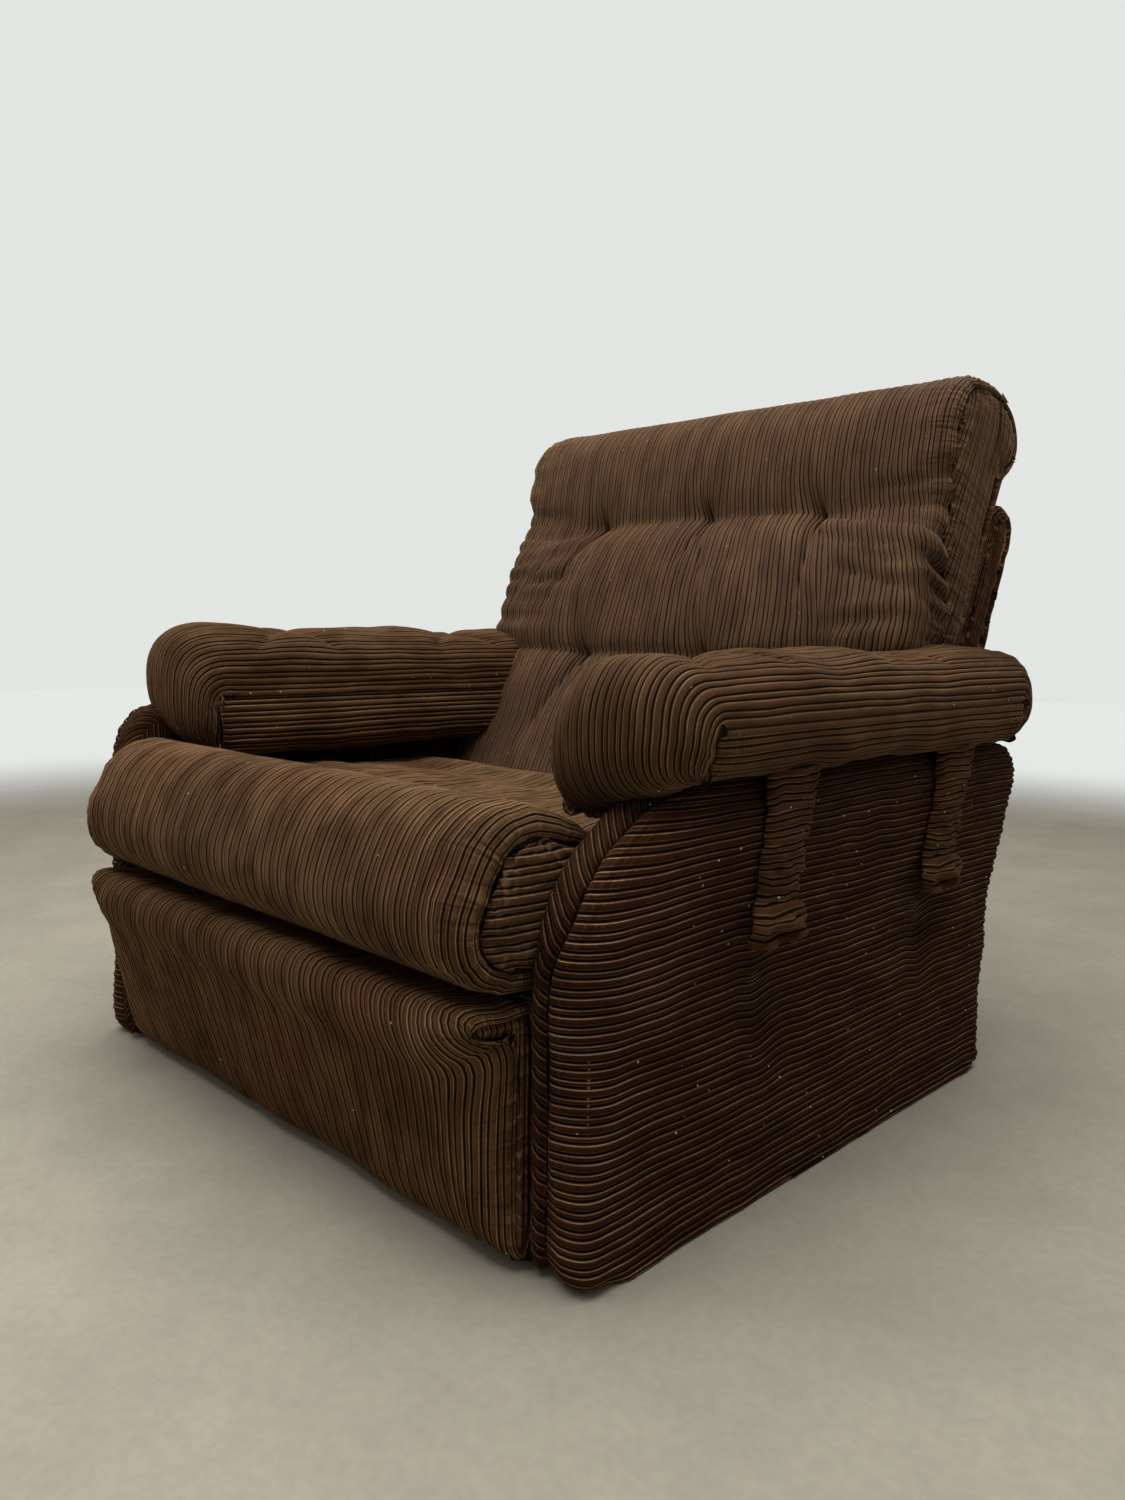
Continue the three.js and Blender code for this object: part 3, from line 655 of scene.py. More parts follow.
def side_outer_face(outline):
    """The outer face of a side cover, its wales level, its edges rounded towards the seams."""
    dense = outline.points[::3]
    across, level = side_levels()
    front, rear = cuts(dense, 0, level)
    corner, nape = 46.0, 30.0             # how far the front and rear edges are rounded
    begin = corner * (1 - np.cos(np.linspace(0, 1, 13)[:-1] * QUARTER))
    finish = nape * (1 - np.cos(np.linspace(0, 1, 10)[1:] * QUARTER))[::-1]
    middle = steps(0, 1, ROW / 740)
    y = np.vstack([front + begin[:, None],
                   front + corner + (rear - nape - front - corner) * middle[:, None],
                   rear - finish[1:, None],
                   rear[None, :]])
    z = level[None, :] + 0 * y
    inside = edge_distance(np.vstack([dense, dense[:1]]), y, z)
    to_rear = ease((y + 100) / 300)
    reach = corner + (nape - corner) * to_rear
    reach = np.where(z > SIDE_TOP - TOP_ROUND - 6, np.minimum(reach, TOP_ROUND + 8), reach)
    seam_sink = SIDE_OUTER - gusset_seam(z)
    sink = seam_sink + (nape - seam_sink) * to_rear
    low_down = ease((36 - z) / 24) * ease((y + 400) / 30)
    reach = reach + (FOOT_ROUND + 2 - reach) * low_down
    sink = sink + (FOOT_ROUND - sink) * low_down
    curve = np.clip(inside / reach, 0, 1)
    square = 2 + 2.5 * ease((150 - z) / 140)        # the rounding is boxier low down
    x = SIDE_OUTER - sink * (1 - (1 - (1 - curve) ** square) ** (1 / square))
    length = run_length(side_plane(x, y, z))
    face = Cloth(side_plane(x, y, z), across[None, :], length, SIDE_CENTRE)
    face.seam = length
    w = across[None, :] + 0 * y
    out = 2.6 * wander(y / 120, w / 90, 71) + 1.3 * wander(y / 46, w / 34, 72)
    droop = 3.5 * wander(y / 130, w / 160, 73) + 1.2 * wander(y / 34, w / 60, 74)
    for strap, depth in STRAP_PLACES:
        out -= depth * hump(y - strap - 6, 46) * hump(w - 232, 58)
        droop -= 9 * hump(y - strap, 26) * hump(w - 210, 85)
    out += puckers(length, w, 75, 1.8, 18, 16) + seam_valley(length, 3.5)
    out += puckers(length[-1:] - length, w, 76, 2.2, 16, 30)
    return face.move(across=droop, out=out).sew("first_row", depth=7)


def side_gusset(outline):
    """The bias strip from the front seam round the inner front edge and on to the inner face."""
    run = steps(16, outline.find(-150, SIDE_TOP), 2.6)
    seam_x = gusset_seam(outline.at(run)[:, 1])[:, None]
    flat = seam_x - SIDE_INNER - GUSSET_LIP
    share = joined(steps(0, 1, 0.1), steps(1, 2, 0.13), steps(2, 3, 0.1))[None, :]
    front, lip = np.minimum(share, 1), np.clip(share - 1, 0, 1) * QUARTER
    inner = np.maximum(share - 2, 0) * 34
    x = seam_x - flat * front - GUSSET_LIP * np.sin(lip)
    depth = GUSSET_LIP * (1 - np.cos(lip)) + inner
    reach = flat * front + GUSSET_LIP * lip + inner
    spine = outline.at(run)[:, None, :] + outline.inward(run)[:, None, :] * depth[..., None]
    cross = (run[:, None] - reach * 1.1) / math.sqrt(2) + 3
    along = (run[:, None] + reach) / math.sqrt(2)
    gusset = Cloth(side_plane(x, spine[..., 0], spine[..., 1]), cross, along, SIDE_CENTRE)
    crest = 3.0 * np.sin(math.pi * np.clip(reach / (flat + GUSSET_LIP), 0, 1))
    gusset.move(out=crest + puckers(reach, run[:, None], 77, 1.6, 12, 14) + seam_valley(reach, 3.5))
    return gusset.raise_wales(ease(reach / FLAT_BY_SEAM)).tuck("first_line", depth=7)


def side_closing(outline):
    """The parts that close a side cover: its edge round the top, the rear and the hem, and the plain
    cloth on its inner face."""
    run = steps(outline.find(-150, SIDE_TOP), outline.length + 2, 7.0)
    ledge, lip = SIDE_OUTER - 28, 14.0
    across = wale_lines(0, ledge - SIDE_INNER + 14)
    x = np.maximum(ledge - across, SIDE_INNER)
    bend = np.clip(SIDE_INNER + lip - (ledge - across), 0, lip)
    depth = lip - np.sqrt(np.clip(lip**2 - bend**2, 0, None)) + np.maximum(across - (ledge - SIDE_INNER), 0)
    spine = outline.at(run)[:, None, :] + outline.inward(run)[:, None, :] * depth[None, :, None]
    edge = Cloth(side_plane(x, spine[..., 0], spine[..., 1]), across[None, :], run[:, None], SIDE_CENTRE)
    edge.raise_wales().tuck("first_line", "last_line", depth=4)
    places = steps(0, outline.length, 12)[:-1]
    loop = outline.at(places) + outline.inward(places) * 15
    middle = np.array([[-20.0, 215.0]])
    share = np.array([1.0, 0.7, 0.35, 0])
    ring = middle + (loop[:, None, :] - middle) * share[None, :, None]
    face = Cloth(side_plane(SIDE_INNER, ring[..., 0], ring[..., 1]), ring[..., 0], ring[..., 1], SIDE_CENTRE,
                 ring=True)
    return [edge, face]


def build_side(name, side, material):
    """One side cover; the cushion on the left one has pushed its padding up and forward."""
    outline = side_outline(name)
    sheets = [side_outer_face(outline), side_gusset(outline), *side_closing(outline)]
    if side < 0:
        sheets = [sheet.mirrored() for sheet in sheets]
        for sheet in sheets:
            y, z = sheet.points[..., 1], sheet.points[..., 2]
            swell = hump(y + 408, 62) * ease((z - 330) / 100)
            sheet.points = sheet.points + swell[..., None] * (-6, 0, 28)
    return make_piece(f"side_cover_{name}_cloth", sheets, material, [f"side_cover_{name}"])


# ---- arm cushions ----------------------------------------------------------------------------------
ARM_MIDDLE, ARM_REAR = 390.0, 402.0       # X along the middle of a cushion, and Y of its rear
ARM_CENTRE = (ARM_MIDDLE, 0, 490)
ARM_TUFTS = ((10, -225), (4, 90))         # across the crown from its middle, and Y


def arm_plane(x, y, z):
    """x runs outward from the middle of the cushion."""
    return side_plane(ARM_MIDDLE + x, y, z)


def arm_end(edge, crown, plan, foot, depth, inward):
    """From the crown down round one end and under it, in a full, slightly square curve."""
    angle = np.linspace(QUARTER, -QUARTER, 30)[:, None]
    drop, out = np.sin(angle), np.cos(angle)
    drop, out = np.sign(drop) * np.abs(drop) ** 0.78, np.maximum(out, 0) ** 0.78
    z = (crown[:, 1] + foot) / 2 + (crown[:, 1] - foot) / 2 * drop
    below = np.clip(-np.sin(angle), 0, 1)
    x = np.where(below > 0, plan * (1 - 0.2 * below), crown[:, 0] + (plan - crown[:, 0]) * ease(out))
    return arm_plane(x, edge + inward * depth * (1 - out), z)


def arm_cap(side, front, top):
    """The sheet over an arm cushion: its wales run along the top, down round both ends and under them."""
    arch = Track([(92, 482), (90, 503), (80, top - 27), (60, top - 10), (31, top - 2), (2, top),
                  (-32, top - 4), (-60, top - 18), (-78, top - 42), (-84, 468)])
    nose = Track([(92, 70), (88, 46), (73, 24), (46, 8), (8, 0), (-28, 2), (-58, 14), (-76, 34), (-84, 48)])
    tail = Track([(92, 70), (88, 48), (72, 24), (44, 6), (4, 0), (-30, 4), (-58, 20), (-74, 44), (-84, 66)])
    across = wale_lines(0, arch.length)
    q = across / arch.length
    crown, plan, rear = arch.at(across), nose.at(q * nose.length), tail.at(q * tail.length)
    bow = np.sin(math.pi * np.clip(q, 0, 1)) ** 0.6
    front_round, rear_round = 3 + 76 * bow, 3 + 64 * bow
    foot_front = np.interp(q, [0, 0.25, 0.5, 0.75, 1], [436, 426, 408, 394, 396])
    foot_rear = np.interp(q, [0, 0.6, 1], [436, 430, 412])
    y_front, y_rear = front + plan[:, 1], ARM_REAR - rear[:, 1]
    over_front = arm_end(y_front, crown, plan[:, 0], foot_front, front_round, 1)
    over_rear = arm_end(y_rear, crown, rear[:, 0], foot_rear, rear_round, -1)[::-1]
    t = steps(0, 1, ROW / (ARM_REAR - front - 120))[:, None]
    run = arm_plane(crown[:, 0], (y_rear - rear_round) * (1 - t) + (y_front + front_round) * t, crown[:, 1])
    under_front = arm_plane(plan[:, 0] * 0.5, front + 110.0, foot_front + 10)[None]
    under_rear = arm_plane(rear[:, 0] * 0.45, ARM_REAR - 92.0, foot_rear)[None]
    grid = np.concatenate([under_rear, over_rear[:-1], run, over_front[1:], under_front])
    length = run_length(grid)
    sheet = Cloth(grid, across[None, :], length, ARM_CENTRE)

    u, y, z = across[None, :] - arch.length / 2 + 0 * length, grid[..., 1], grid[..., 2]
    moves = []
    for tu, ty in ARM_TUFTS:
        moves.append(button(u, y, (tu, ty), 15, 58, 0.3))
        for lean in (-1, 1):
            for reach in (-62, 70):
                moves.append(fold(u, y, (tu, ty), (tu + lean * 72, ty + reach), 7, 12, 0.2, 0.3))
    back_to_front = np.reshape((1, -1, 1), (3, 1, 1))      # the wales run towards the front, against Y
    tufting = sum(moves) * back_to_front * ease((z - 500) / 30)
    edge = arch.length / 2 - np.abs(u)
    at_mitre = np.maximum(ease((front + 82 - y) / 16), ease((y - ARM_REAR + 82) / 12))
    lumps = 3.5 * wander(u / 70, y / 90, 81 + side) + 1.4 * wander(u / 30, y / 44, 82 + side)
    gather = (puckers(edge, z, 83, 2.2, 15, 18) + seam_valley(edge, 1.5)) * at_mitre
    sheet.seam = edge + (1 - at_mitre) * FAR_FROM_SEAM
    sheet.move(**total([tufting, push(lumps * ease(edge / 30) + gather, 1.5 * wander(u / 24, y / 60, 84))]))
    sheet.raise_wales(1 - (1 - ease(edge / FLAT_BY_SEAM)) * at_mitre)
    return sheet.tuck("first_line", "last_line", depth=2)


def arm_belt(front):
    """The outer side, underside and inner side of an arm cushion in one strip, its wales along it."""
    belt = Track([(92, 482), (91, 462), (85, 446), (71, 434), (40, 429), (4, 430), (-5, 424), (-11, 398),
                  (-34, 388), (-60, 388), (-79, 400), (-88, 436), (-84, 468)])
    lines = wale_lines(0, belt.length)
    hidden = (lines > belt.find(40, 429)) & (lines < belt.find(-11, 398))
    lines = lines[~hidden | (np.arange(len(lines)) % 5 == 0)]
    ring = belt.at(lines)
    y0 = front + np.interp(lines / belt.length, [0, 0.1, 0.3, 0.7, 1], [70, 71, 86, 60, 48])
    y1 = ARM_REAR - 70.0
    t = steps(0, 1, ROW / 650)[:, None]
    y = y1 * (1 - t) + y0 * t
    strip = Cloth(arm_plane(ring[:, 0], y, ring[:, 1]), lines[None, :], -y, ARM_CENTRE)
    strip.seam = np.minimum(y - y0, y1 - y)
    lines = lines[None, :] + 0 * y
    full = ease(np.minimum(lines, belt.length - lines) / 30)      # 0 at the long seams
    out = puckers(strip.seam, lines, 85, 2.4, 14, 18) * full + seam_valley(strip.seam, 1.5)
    out += full * (2.4 * wander(y / 80, lines / 50, 86) + 2.0 * wander(y / 46, 0, 87))
    strip.move(across=2.2 * wander(y / 90, lines / 90, 88) * full, out=out)
    return strip.sew("first_row", "last_row", depth=3)


def build_arm(name, side, front, top, material):
    """front is the Y of its front and top the height of its crown: each cushion has slid along its panel
    and settled by its own amount."""
    sheets = [arm_cap(side, front, top), arm_belt(front)]
    if side < 0:
        sheets = [sheet.mirrored() for sheet in sheets]
    return make_piece(f"arm_cushion_{name}_cloth", sheets, material, [f"arm_cushion_{name}"])


# ---- straps ----------------------------------------------------------------------------------------
STRAP_ENDS = {"front": (-150.0, -187.0), "rear": (196.0, 146.0)}     # Y of the upper and lower end


def build_strap(end, name, side, material):
    """A ruched tape of corduroy, its wales across it, its lower end bunched and frayed."""
    low, high = cad(f"strap_{end}_{name}")
    x = 0.5 * (abs(low[0]) + abs(high[0])) - 1
    top, bottom = high[2] + 6, low[2]
    upper, lower = STRAP_ENDS[end]
    v = wale_lines(0, top - bottom)
    t = v / (top - bottom)
    rows = np.linspace(-1, 1, 15)[:, None]
    middle = upper + (lower - upper) * t
    half = 43 - 9 * ease((t - 0.05) / 0.4) + 11 * ease((t - 0.74) / 0.14)
    half = half * (1 + 0.09 * wander(v / 9, 0, 91 + (end == "rear")))
    y = middle + half * rows
    z = top - v - 5 * rows**2 * wander(v / 22, rows * 2, 92)
    bulge = 4 + 11 * (1 - rows**2) ** 0.3 + 9 * ease((t - 0.76) / 0.1)
    tape = Cloth(side_plane(x + bulge, y, z), v[None, :], y, (x - 40, -10, 340))
    ruffle = 3.2 * wander(v / 11, rows * 2.5, 93) + 7 * wander(v / 8, rows * 2.2, 94) * ease((t - 0.74) / 0.1)
    tape.move(out=ruffle).raise_wales(1.15).tuck(*ALL_EDGES, depth=7)
    sheets = [tape if side > 0 else tape.mirrored()]
    return make_piece(f"strap_{end}_{name}_cloth", sheets, material, [f"strap_{end}_{name}"])


# ---- material nodes --------------------------------------------------------------------------------
def feed(tree, socket, value):
    """Gives a socket a link or a plain value."""
    if isinstance(value, bpy.types.NodeSocket):
        tree.links.new(value, socket)
    else:
        socket.default_value = value


def new_node(tree, kind, settings=None, **inputs):
    """A node with these settings and inputs, the inputs by name."""
    node = tree.nodes.new(kind)
    for key, value in (settings or {}).items():
        setattr(node, key, value)
    for key, value in inputs.items():
        feed(tree, node.inputs[key], value)
    return node


def math_node(tree, operation, *values, clamp=False):
    node = new_node(tree, "ShaderNodeMath", {"operation": operation, "use_clamp": clamp})
    for socket, value in zip(node.inputs, values):
        feed(tree, socket, value)
    return node.outputs[0]


def times(tree, first, *others, clamp=False):
    """The product of some values."""
    for other in others:
        first = math_node(tree, "MULTIPLY", first, other, clamp=clamp)
    return first


def plus(tree, first, *others):
    """The sum of some values."""
    for other in others:
        first = math_node(tree, "ADD", first, other)
    return first


def mix_colour(tree, share, first, second):
    node = new_node(tree, "ShaderNodeMix", {"data_type": "RGBA"})
    for socket, value in zip([socket for socket in node.inputs if socket.enabled], (share, first, second)):
        feed(tree, socket, value)
    return [socket for socket in node.outputs if socket.enabled][0]


def span(tree, value, low, high, to_low=0.0, to_high=1.0):
    """A smooth ramp from to_low, where value is low, to to_high, where it is high."""
    node = new_node(tree, "ShaderNodeMapRange", {"clamp": True, "interpolation_type": "SMOOTHSTEP"},
                    Value=value)
    for key, number in (("From Min", low), ("From Max", high), ("To Min", to_low), ("To Max", to_high)):
        node.inputs[key].default_value = number
    return node.outputs[0]


def noise(tree, vector, scale, detail=2.0, roughness=0.5):
    node = new_node(tree, "ShaderNodeTexNoise", {"noise_dimensions": "3D"}, Vector=vector, Scale=scale,
                    Detail=detail, Roughness=roughness)
    return node.outputs[0]


def scaled(tree, vector, factors):
    """A vector times a factor on each axis."""
    node = tree.nodes.new("ShaderNodeVectorMath")
    node.operation = "MULTIPLY"
    feed(tree, node.inputs[0], vector)
    feed(tree, node.inputs[1], factors)
    return node.outputs[0]


def uv_map(tree, name):
    return new_node(tree, "ShaderNodeUVMap", {"uv_map": name}).outputs[0]


def grey_ramp(tree, value, stops):
    """A ramp of greys through (place, grey) stops."""
    node = tree.nodes.new("ShaderNodeValToRGB")
    tree.links.new(value, node.inputs[0])
    elements = node.color_ramp.elements
    for element, (place, grey) in zip(elements, (stops[0], stops[-1])):
        element.position, element.color = place, (grey, grey, grey, 1)
    for place, grey in stops[1:-1]:
        elements.new(place).color = (grey, grey, grey, 1)
    return node.outputs[0]


def new_group(name, inputs, outputs):
    """An empty shader node group with its sockets: inputs are (name, type, default), outputs (name, type)."""
    tree = bpy.data.node_groups.new(name, "ShaderNodeTree")
    for label, kind, default in inputs:
        socket = tree.interface.new_socket(label, in_out="INPUT", socket_type=kind)
        socket.default_value = default
    for label, kind in outputs:
        tree.interface.new_socket(label, in_out="OUTPUT", socket_type=kind)
    return tree, tree.nodes.new("NodeGroupInput"), tree.nodes.new("NodeGroupOutput")


COLOUR, NUMBER, VECTOR = "NodeSocketColor", "NodeSocketFloat", "NodeSocketVector"
LINT, DUST = (0.45, 0.4, 0.33, 1), (0.42, 0.39, 0.35, 1)


def wale_masks(tree, part):
    """From the place within a period: where the pile stands between the grooves, outside which the grooves
    are painted dark for their shade, and a painted highlight along the edges of each wale, strongest on one
    side of it."""
    groove = WIDE / PERIOD
    ridge = grey_ramp(tree, part, [
        (0, 0), (0.03, 0.05), (0.115, 1), (groove - 0.115, 1), (groove - 0.03, 0.05), (groove, 0),
        (groove + 0.025, 0.05), (groove + 0.095, 1), (0.905, 1), (0.975, 0.05), (1, 0)])
    rim_highlight = grey_ramp(tree, part, [
        (0, 0), (0.085, 0), (0.12, 0.35), (0.16, 0), (groove - 0.17, 0), (groove - 0.12, 1),
        (groove - 0.075, 0), (groove + 0.07, 0), (groove + 0.105, 0.3), (groove + 0.14, 0),
        (0.84, 0), (0.89, 0.85), (0.935, 0), (1, 0)])
    return ridge, rim_highlight


def ladder_masks(tree):
    """Gathers that run into the seams like the rungs of a ladder, a painted highlight on the tops of those by
    the seam, and the distance from the seam."""
    seam = uv_map(tree, "seams")
    away = new_node(tree, "ShaderNodeSeparateXYZ", None, Vector=seam).outputs[0]
    rungs = noise(tree, scaled(tree, seam, (14, 85, 0)), 1.0, 2, 0.5)
    near = math_node(tree, "SUBTRACT", 1.0, span(tree, away, 0.004, 0.08))
    beside = math_node(tree, "SUBTRACT", 1.0, span(tree, away, 0.002, 0.02))
    ladder = times(tree, span(tree, rungs, 0.35, 0.65), near)
    # painted highlight on the tops of the rungs next to the seam
    tops = times(tree, span(tree, rungs, 0.53, 0.62), beside)
    return ladder, tops, away


def lint_mask(tree, spot):
    """A few small flecks, one in some cells of the cloth."""
    cells = new_node(tree, "ShaderNodeTexVoronoi", None, Vector=spot, Scale=62.0)
    chance = new_node(tree, "ShaderNodeSeparateColor", None, Color=cells.outputs["Color"]).outputs[0]
    return times(tree, math_node(tree, "LESS_THAN", cells.outputs["Distance"], 0.075),
                 math_node(tree, "GREATER_THAN", chance, 0.88))


def wale_group():
    """Colour, roughness and pile height of worn corduroy, from its own wale coordinates; its colour has a
    painted highlight on the edges of the wales and painted shade in the grooves.
    """
    tree, given, out = new_group(
        "Corduroy wales",
        [("Pile", COLOUR, (0.07, 0.045, 0.03, 1)), ("Worn", COLOUR, (0.15, 0.1, 0.06, 1)),
         # painted shade: the groove colour darkens the backing between the wales for the shade in the grooves
         ("Groove shade", COLOUR, (0.012, 0.008, 0.006, 1)), ("Rust", COLOUR, (0.1, 0.04, 0.02, 1)),
         # the rim colour and its amount paint a highlight on the edges of the wales
         ("Rim highlight", COLOUR, (0.2, 0.12, 0.06, 1)),
         ("Wear", NUMBER, 0.5), ("Rim highlight amount", NUMBER, 0.3),
         ("Rust share", NUMBER, 0.3), ("Lint share", NUMBER, 0.3)],
        [("Colour", COLOUR), ("Roughness", NUMBER), ("Height", NUMBER)])
    get = given.outputs
    uv = uv_map(tree, "wales")
    across = new_node(tree, "ShaderNodeSeparateXYZ", None, Vector=uv).outputs[0]
    wale = math_node(tree, "DIVIDE", across, PERIOD * MM)
    part = math_node(tree, "FRACT", wale)
    ridge, rim_highlight = wale_masks(tree, part)
    ladder, rung_highlights, away = ladder_masks(tree)
    spot = new_node(tree, "ShaderNodeNewGeometry").outputs["Position"]
    streak = noise(tree, scaled(tree, uv, (420, 42, 0)), 1.0, 3, 0.6)
    nap = noise(tree, scaled(tree, uv, (38, 12, 0)), 1.0, 3, 0.5)
    fibre = noise(tree, scaled(tree, uv, (1500, 380, 0)), 1.0, 2, 0.6)
    patch = noise(tree, spot, 5.5, 3, 0.55)
    rust_patch = noise(tree, spot, 7.5, 4, 0.6)
    number = math_node(tree, "FLOOR", plus(tree, wale, math_node(tree, "LESS_THAN", part, WIDE / PERIOD)))
    tone = new_node(tree, "ShaderNodeTexWhiteNoise", {"noise_dimensions": "1D"}, W=number).outputs[0]

    # the pile, rubbed in streaks and patches, each wale a little different, and reddened in places
    rubbed = plus(tree, span(tree, nap, 0.3, 0.7, 0.25, 0.75), span(tree, streak, 0.3, 0.7, -0.16, 0.16),
                  span(tree, tone, 0, 1, -0.05, 0.05))
    rubbed = times(tree, rubbed, span(tree, patch, 0.32, 0.66, 0.55, 1.45), get["Wear"], clamp=True)
    cloth = mix_colour(tree, rubbed, get["Pile"], get["Worn"])
    rusty = times(tree, span(tree, rust_patch, 0.5, 0.66), get["Rust share"])
    cloth = mix_colour(tree, rusty, cloth, get["Rust"])
    # painted highlights along the edges of the wales, brightest by the seams, and on the tops of the rungs
    edge = times(tree, rim_highlight, get["Rim highlight amount"], span(tree, streak, 0.3, 0.6, 0.5, 1.0),
                 span(tree, away, 0.02, 0.17, 1.3, 0.62))
    edge = times(tree, edge, span(tree, nap, 0.34, 0.62, 0.55, 1.15), clamp=True)
    edge = math_node(tree, "MAXIMUM", edge, times(tree, rung_highlights, 0.4))
    cloth = mix_colour(tree, edge, cloth, get["Rim highlight"])
    # painted shade in the grooves between the wales
    cloth = mix_colour(tree, ridge, get["Groove shade"], cloth)
    cloth = mix_colour(tree, times(tree, lint_mask(tree, spot), get["Lint share"], clamp=True), cloth, LINT)
    tree.links.new(cloth, out.inputs["Colour"])
    tree.links.new(span(tree, nap, 0.3, 0.7, 0.98, 0.8), out.inputs["Roughness"])
    height = plus(tree, times(tree, streak, 0.6), times(tree, fibre, 0.5), times(tree, ladder, 5.0))
    tree.links.new(height, out.inputs["Height"])
    return tree


def new_material(name, group, values, bump_height, bump_strength=1.0):
    """A material whose colour, roughness and bump come from a node group; returns it and its shader."""
    material = bpy.data.materials.new(name)
    material.use_nodes = True
    tree = material.node_tree
    shader = tree.nodes["Principled BSDF"]
    source = tree.nodes.new("ShaderNodeGroup")
    source.node_tree = group
    for key, value in values.items():
        source.inputs[key].default_value = value
    bump = tree.nodes.new("ShaderNodeBump")
    bump.inputs["Distance"].default_value = bump_height
    bump.inputs["Strength"].default_value = bump_strength
    tree.links.new(source.outputs["Height"], bump.inputs["Height"])
    tree.links.new(source.outputs["Colour"], shader.inputs["Base Color"])
    tree.links.new(source.outputs["Roughness"], shader.inputs["Roughness"])
    tree.links.new(bump.outputs["Normal"], shader.inputs["Normal"])
    return material, shader


def corduroy(piece, cloth, group, wear, edge, rust, lint, shade, sheen):
    """Corduroy for one group of pieces: how much it is rubbed, how bright the painted highlights on the edges
    of its wales are, how reddened and linted it is, and how its pile is tinted; the tint darkens the sides as
    painted shade and greys the back as painted sheen."""
    # the tint darkens the pile of the sides as painted shade and greys the pile of the back as painted sheen
    pile = [tone * change for tone, change in zip(cloth.pile, shade)]
    values = {"Pile": (*pile, 1), "Worn": (*cloth.worn, 1), "Groove shade": (*cloth.groove, 1),
              "Rust": (*cloth.rust, 1), "Rim highlight": (*cloth.rim_highlight, 1),
              "Wear": wear, "Rim highlight amount": edge, "Rust share": rust, "Lint share": lint}
    material, shader = new_material("corduroy_" + piece, group, values, 0.0007, 0.7)
    shader.inputs["Specular IOR Level"].default_value = 0.06
    shader.inputs["Sheen Weight"].default_value = sheen
    shader.inputs["Sheen Roughness"].default_value = 0.42
    shader.inputs["Sheen Tint"].default_value = (0.80, 0.52, 0.32, 1)
    return material


def grain_group():
    """Colour and height of a plain material with streaks or grain in it."""
    tree, given, out = new_group(
        "Grain and dust",
        [("Light", COLOUR, (0.5, 0.35, 0.2, 1)), ("Dark", COLOUR, (0.3, 0.2, 0.1, 1)),
         ("Stretch", VECTOR, (30, 3, 30)), ("Fine", NUMBER, 60.0), ("Dust", NUMBER, 0.2)],
        [("Colour", COLOUR), ("Roughness", NUMBER), ("Height", NUMBER)])
    get = given.outputs
    spot = new_node(tree, "ShaderNodeNewGeometry").outputs["Position"]
    drawn = scaled(tree, spot, get["Stretch"])
    rings = noise(tree, drawn, 1.0, 4, 0.6)
    pores = new_node(tree, "ShaderNodeTexNoise", None, Vector=drawn, Scale=get["Fine"], Detail=2.0).outputs[0]
    colour = mix_colour(tree, span(tree, rings, 0.35, 0.65), get["Dark"], get["Light"])
    film = times(tree, span(tree, noise(tree, spot, 9.0, 3), 0.4, 0.7), get["Dust"])
    colour = mix_colour(tree, film, colour, DUST)
    tree.links.new(colour, out.inputs["Colour"])
    tree.links.new(span(tree, pores, 0.3, 0.7, 0.55, 0.85), out.inputs["Roughness"])
    tree.links.new(plus(tree, rings, times(tree, pores, 0.4)), out.inputs["Height"])
    return tree


# how rubbed the corduroy of each group of pieces is, how bright the painted highlights on its wale edges, how
# red and how linted, the tint of its pile (painted shade on the sides, painted sheen on the back) and its
# sheen
CORDUROYS = {
    "seat": dict(wear=0.78, edge=0.75, rust=0.35, lint=0.5, shade=(0.5, 0.48, 0.45), sheen=0.1),
    "back": dict(wear=0.45, edge=0.4, rust=0.12, lint=0.4, shade=(1.0, 1.25, 2.1), sheen=0.2),
    "apron": dict(wear=0.5, edge=0.8, rust=0.5, lint=0.6, shade=(0.8, 0.76, 0.72), sheen=0.04),
    "side": dict(wear=0.08, edge=0.85, rust=0.15, lint=0.9, shade=(0.46, 0.33, 0.25), sheen=0.02),
    "arm": dict(wear=0.45, edge=0.65, rust=0.3, lint=0.7, shade=(0.75, 0.78, 0.8), sheen=0.12),
    "strap": dict(wear=0.3, edge=1.0, rust=0.1, lint=0.9, shade=(0.75, 0.65, 0.55), sheen=0.05)}

# the parts under the cloth: light and dark colour, how the grain is drawn out, its fineness and its dust
PLAIN_FINISHES = {
    "softwood": ((0.55, 0.36, 0.18, 1), (0.36, 0.21, 0.1, 1), (60, 60, 6), 14, 0.3),
    "hardboard": ((0.24, 0.14, 0.08, 1), (0.17, 0.1, 0.055, 1), (90, 90, 90), 9, 0.35),
    "rubber_webbing": ((0.06, 0.045, 0.035, 1), (0.03, 0.024, 0.02, 1), (20, 420, 20), 5, 0.3),
    "dark_cloth": ((0.035, 0.031, 0.028, 1), (0.018, 0.016, 0.015, 1), (500, 500, 500), 3, 0.4),
    "plastic_glide": ((0.035, 0.032, 0.03, 1), (0.022, 0.02, 0.019, 1), (140, 140, 140), 6, 0.5),
    "zinc_steel": ((0.58, 0.58, 0.56, 1), (0.4, 0.4, 0.38, 1), (240, 240, 240), 6, 0.25)}
BUMPS = {"plastic_glide": 0.0002, "zinc_steel": 0.0001}      # metres, where not the usual
METALLIC = {"zinc_steel": 0.9}
FINISH_WORDS = {"board": "hardboard", "webbing": "rubber_webbing", "deck_cloth": "dark_cloth",
                "underside_cloth": "dark_cloth", "glide": "plastic_glide", "bolt": "zinc_steel"}


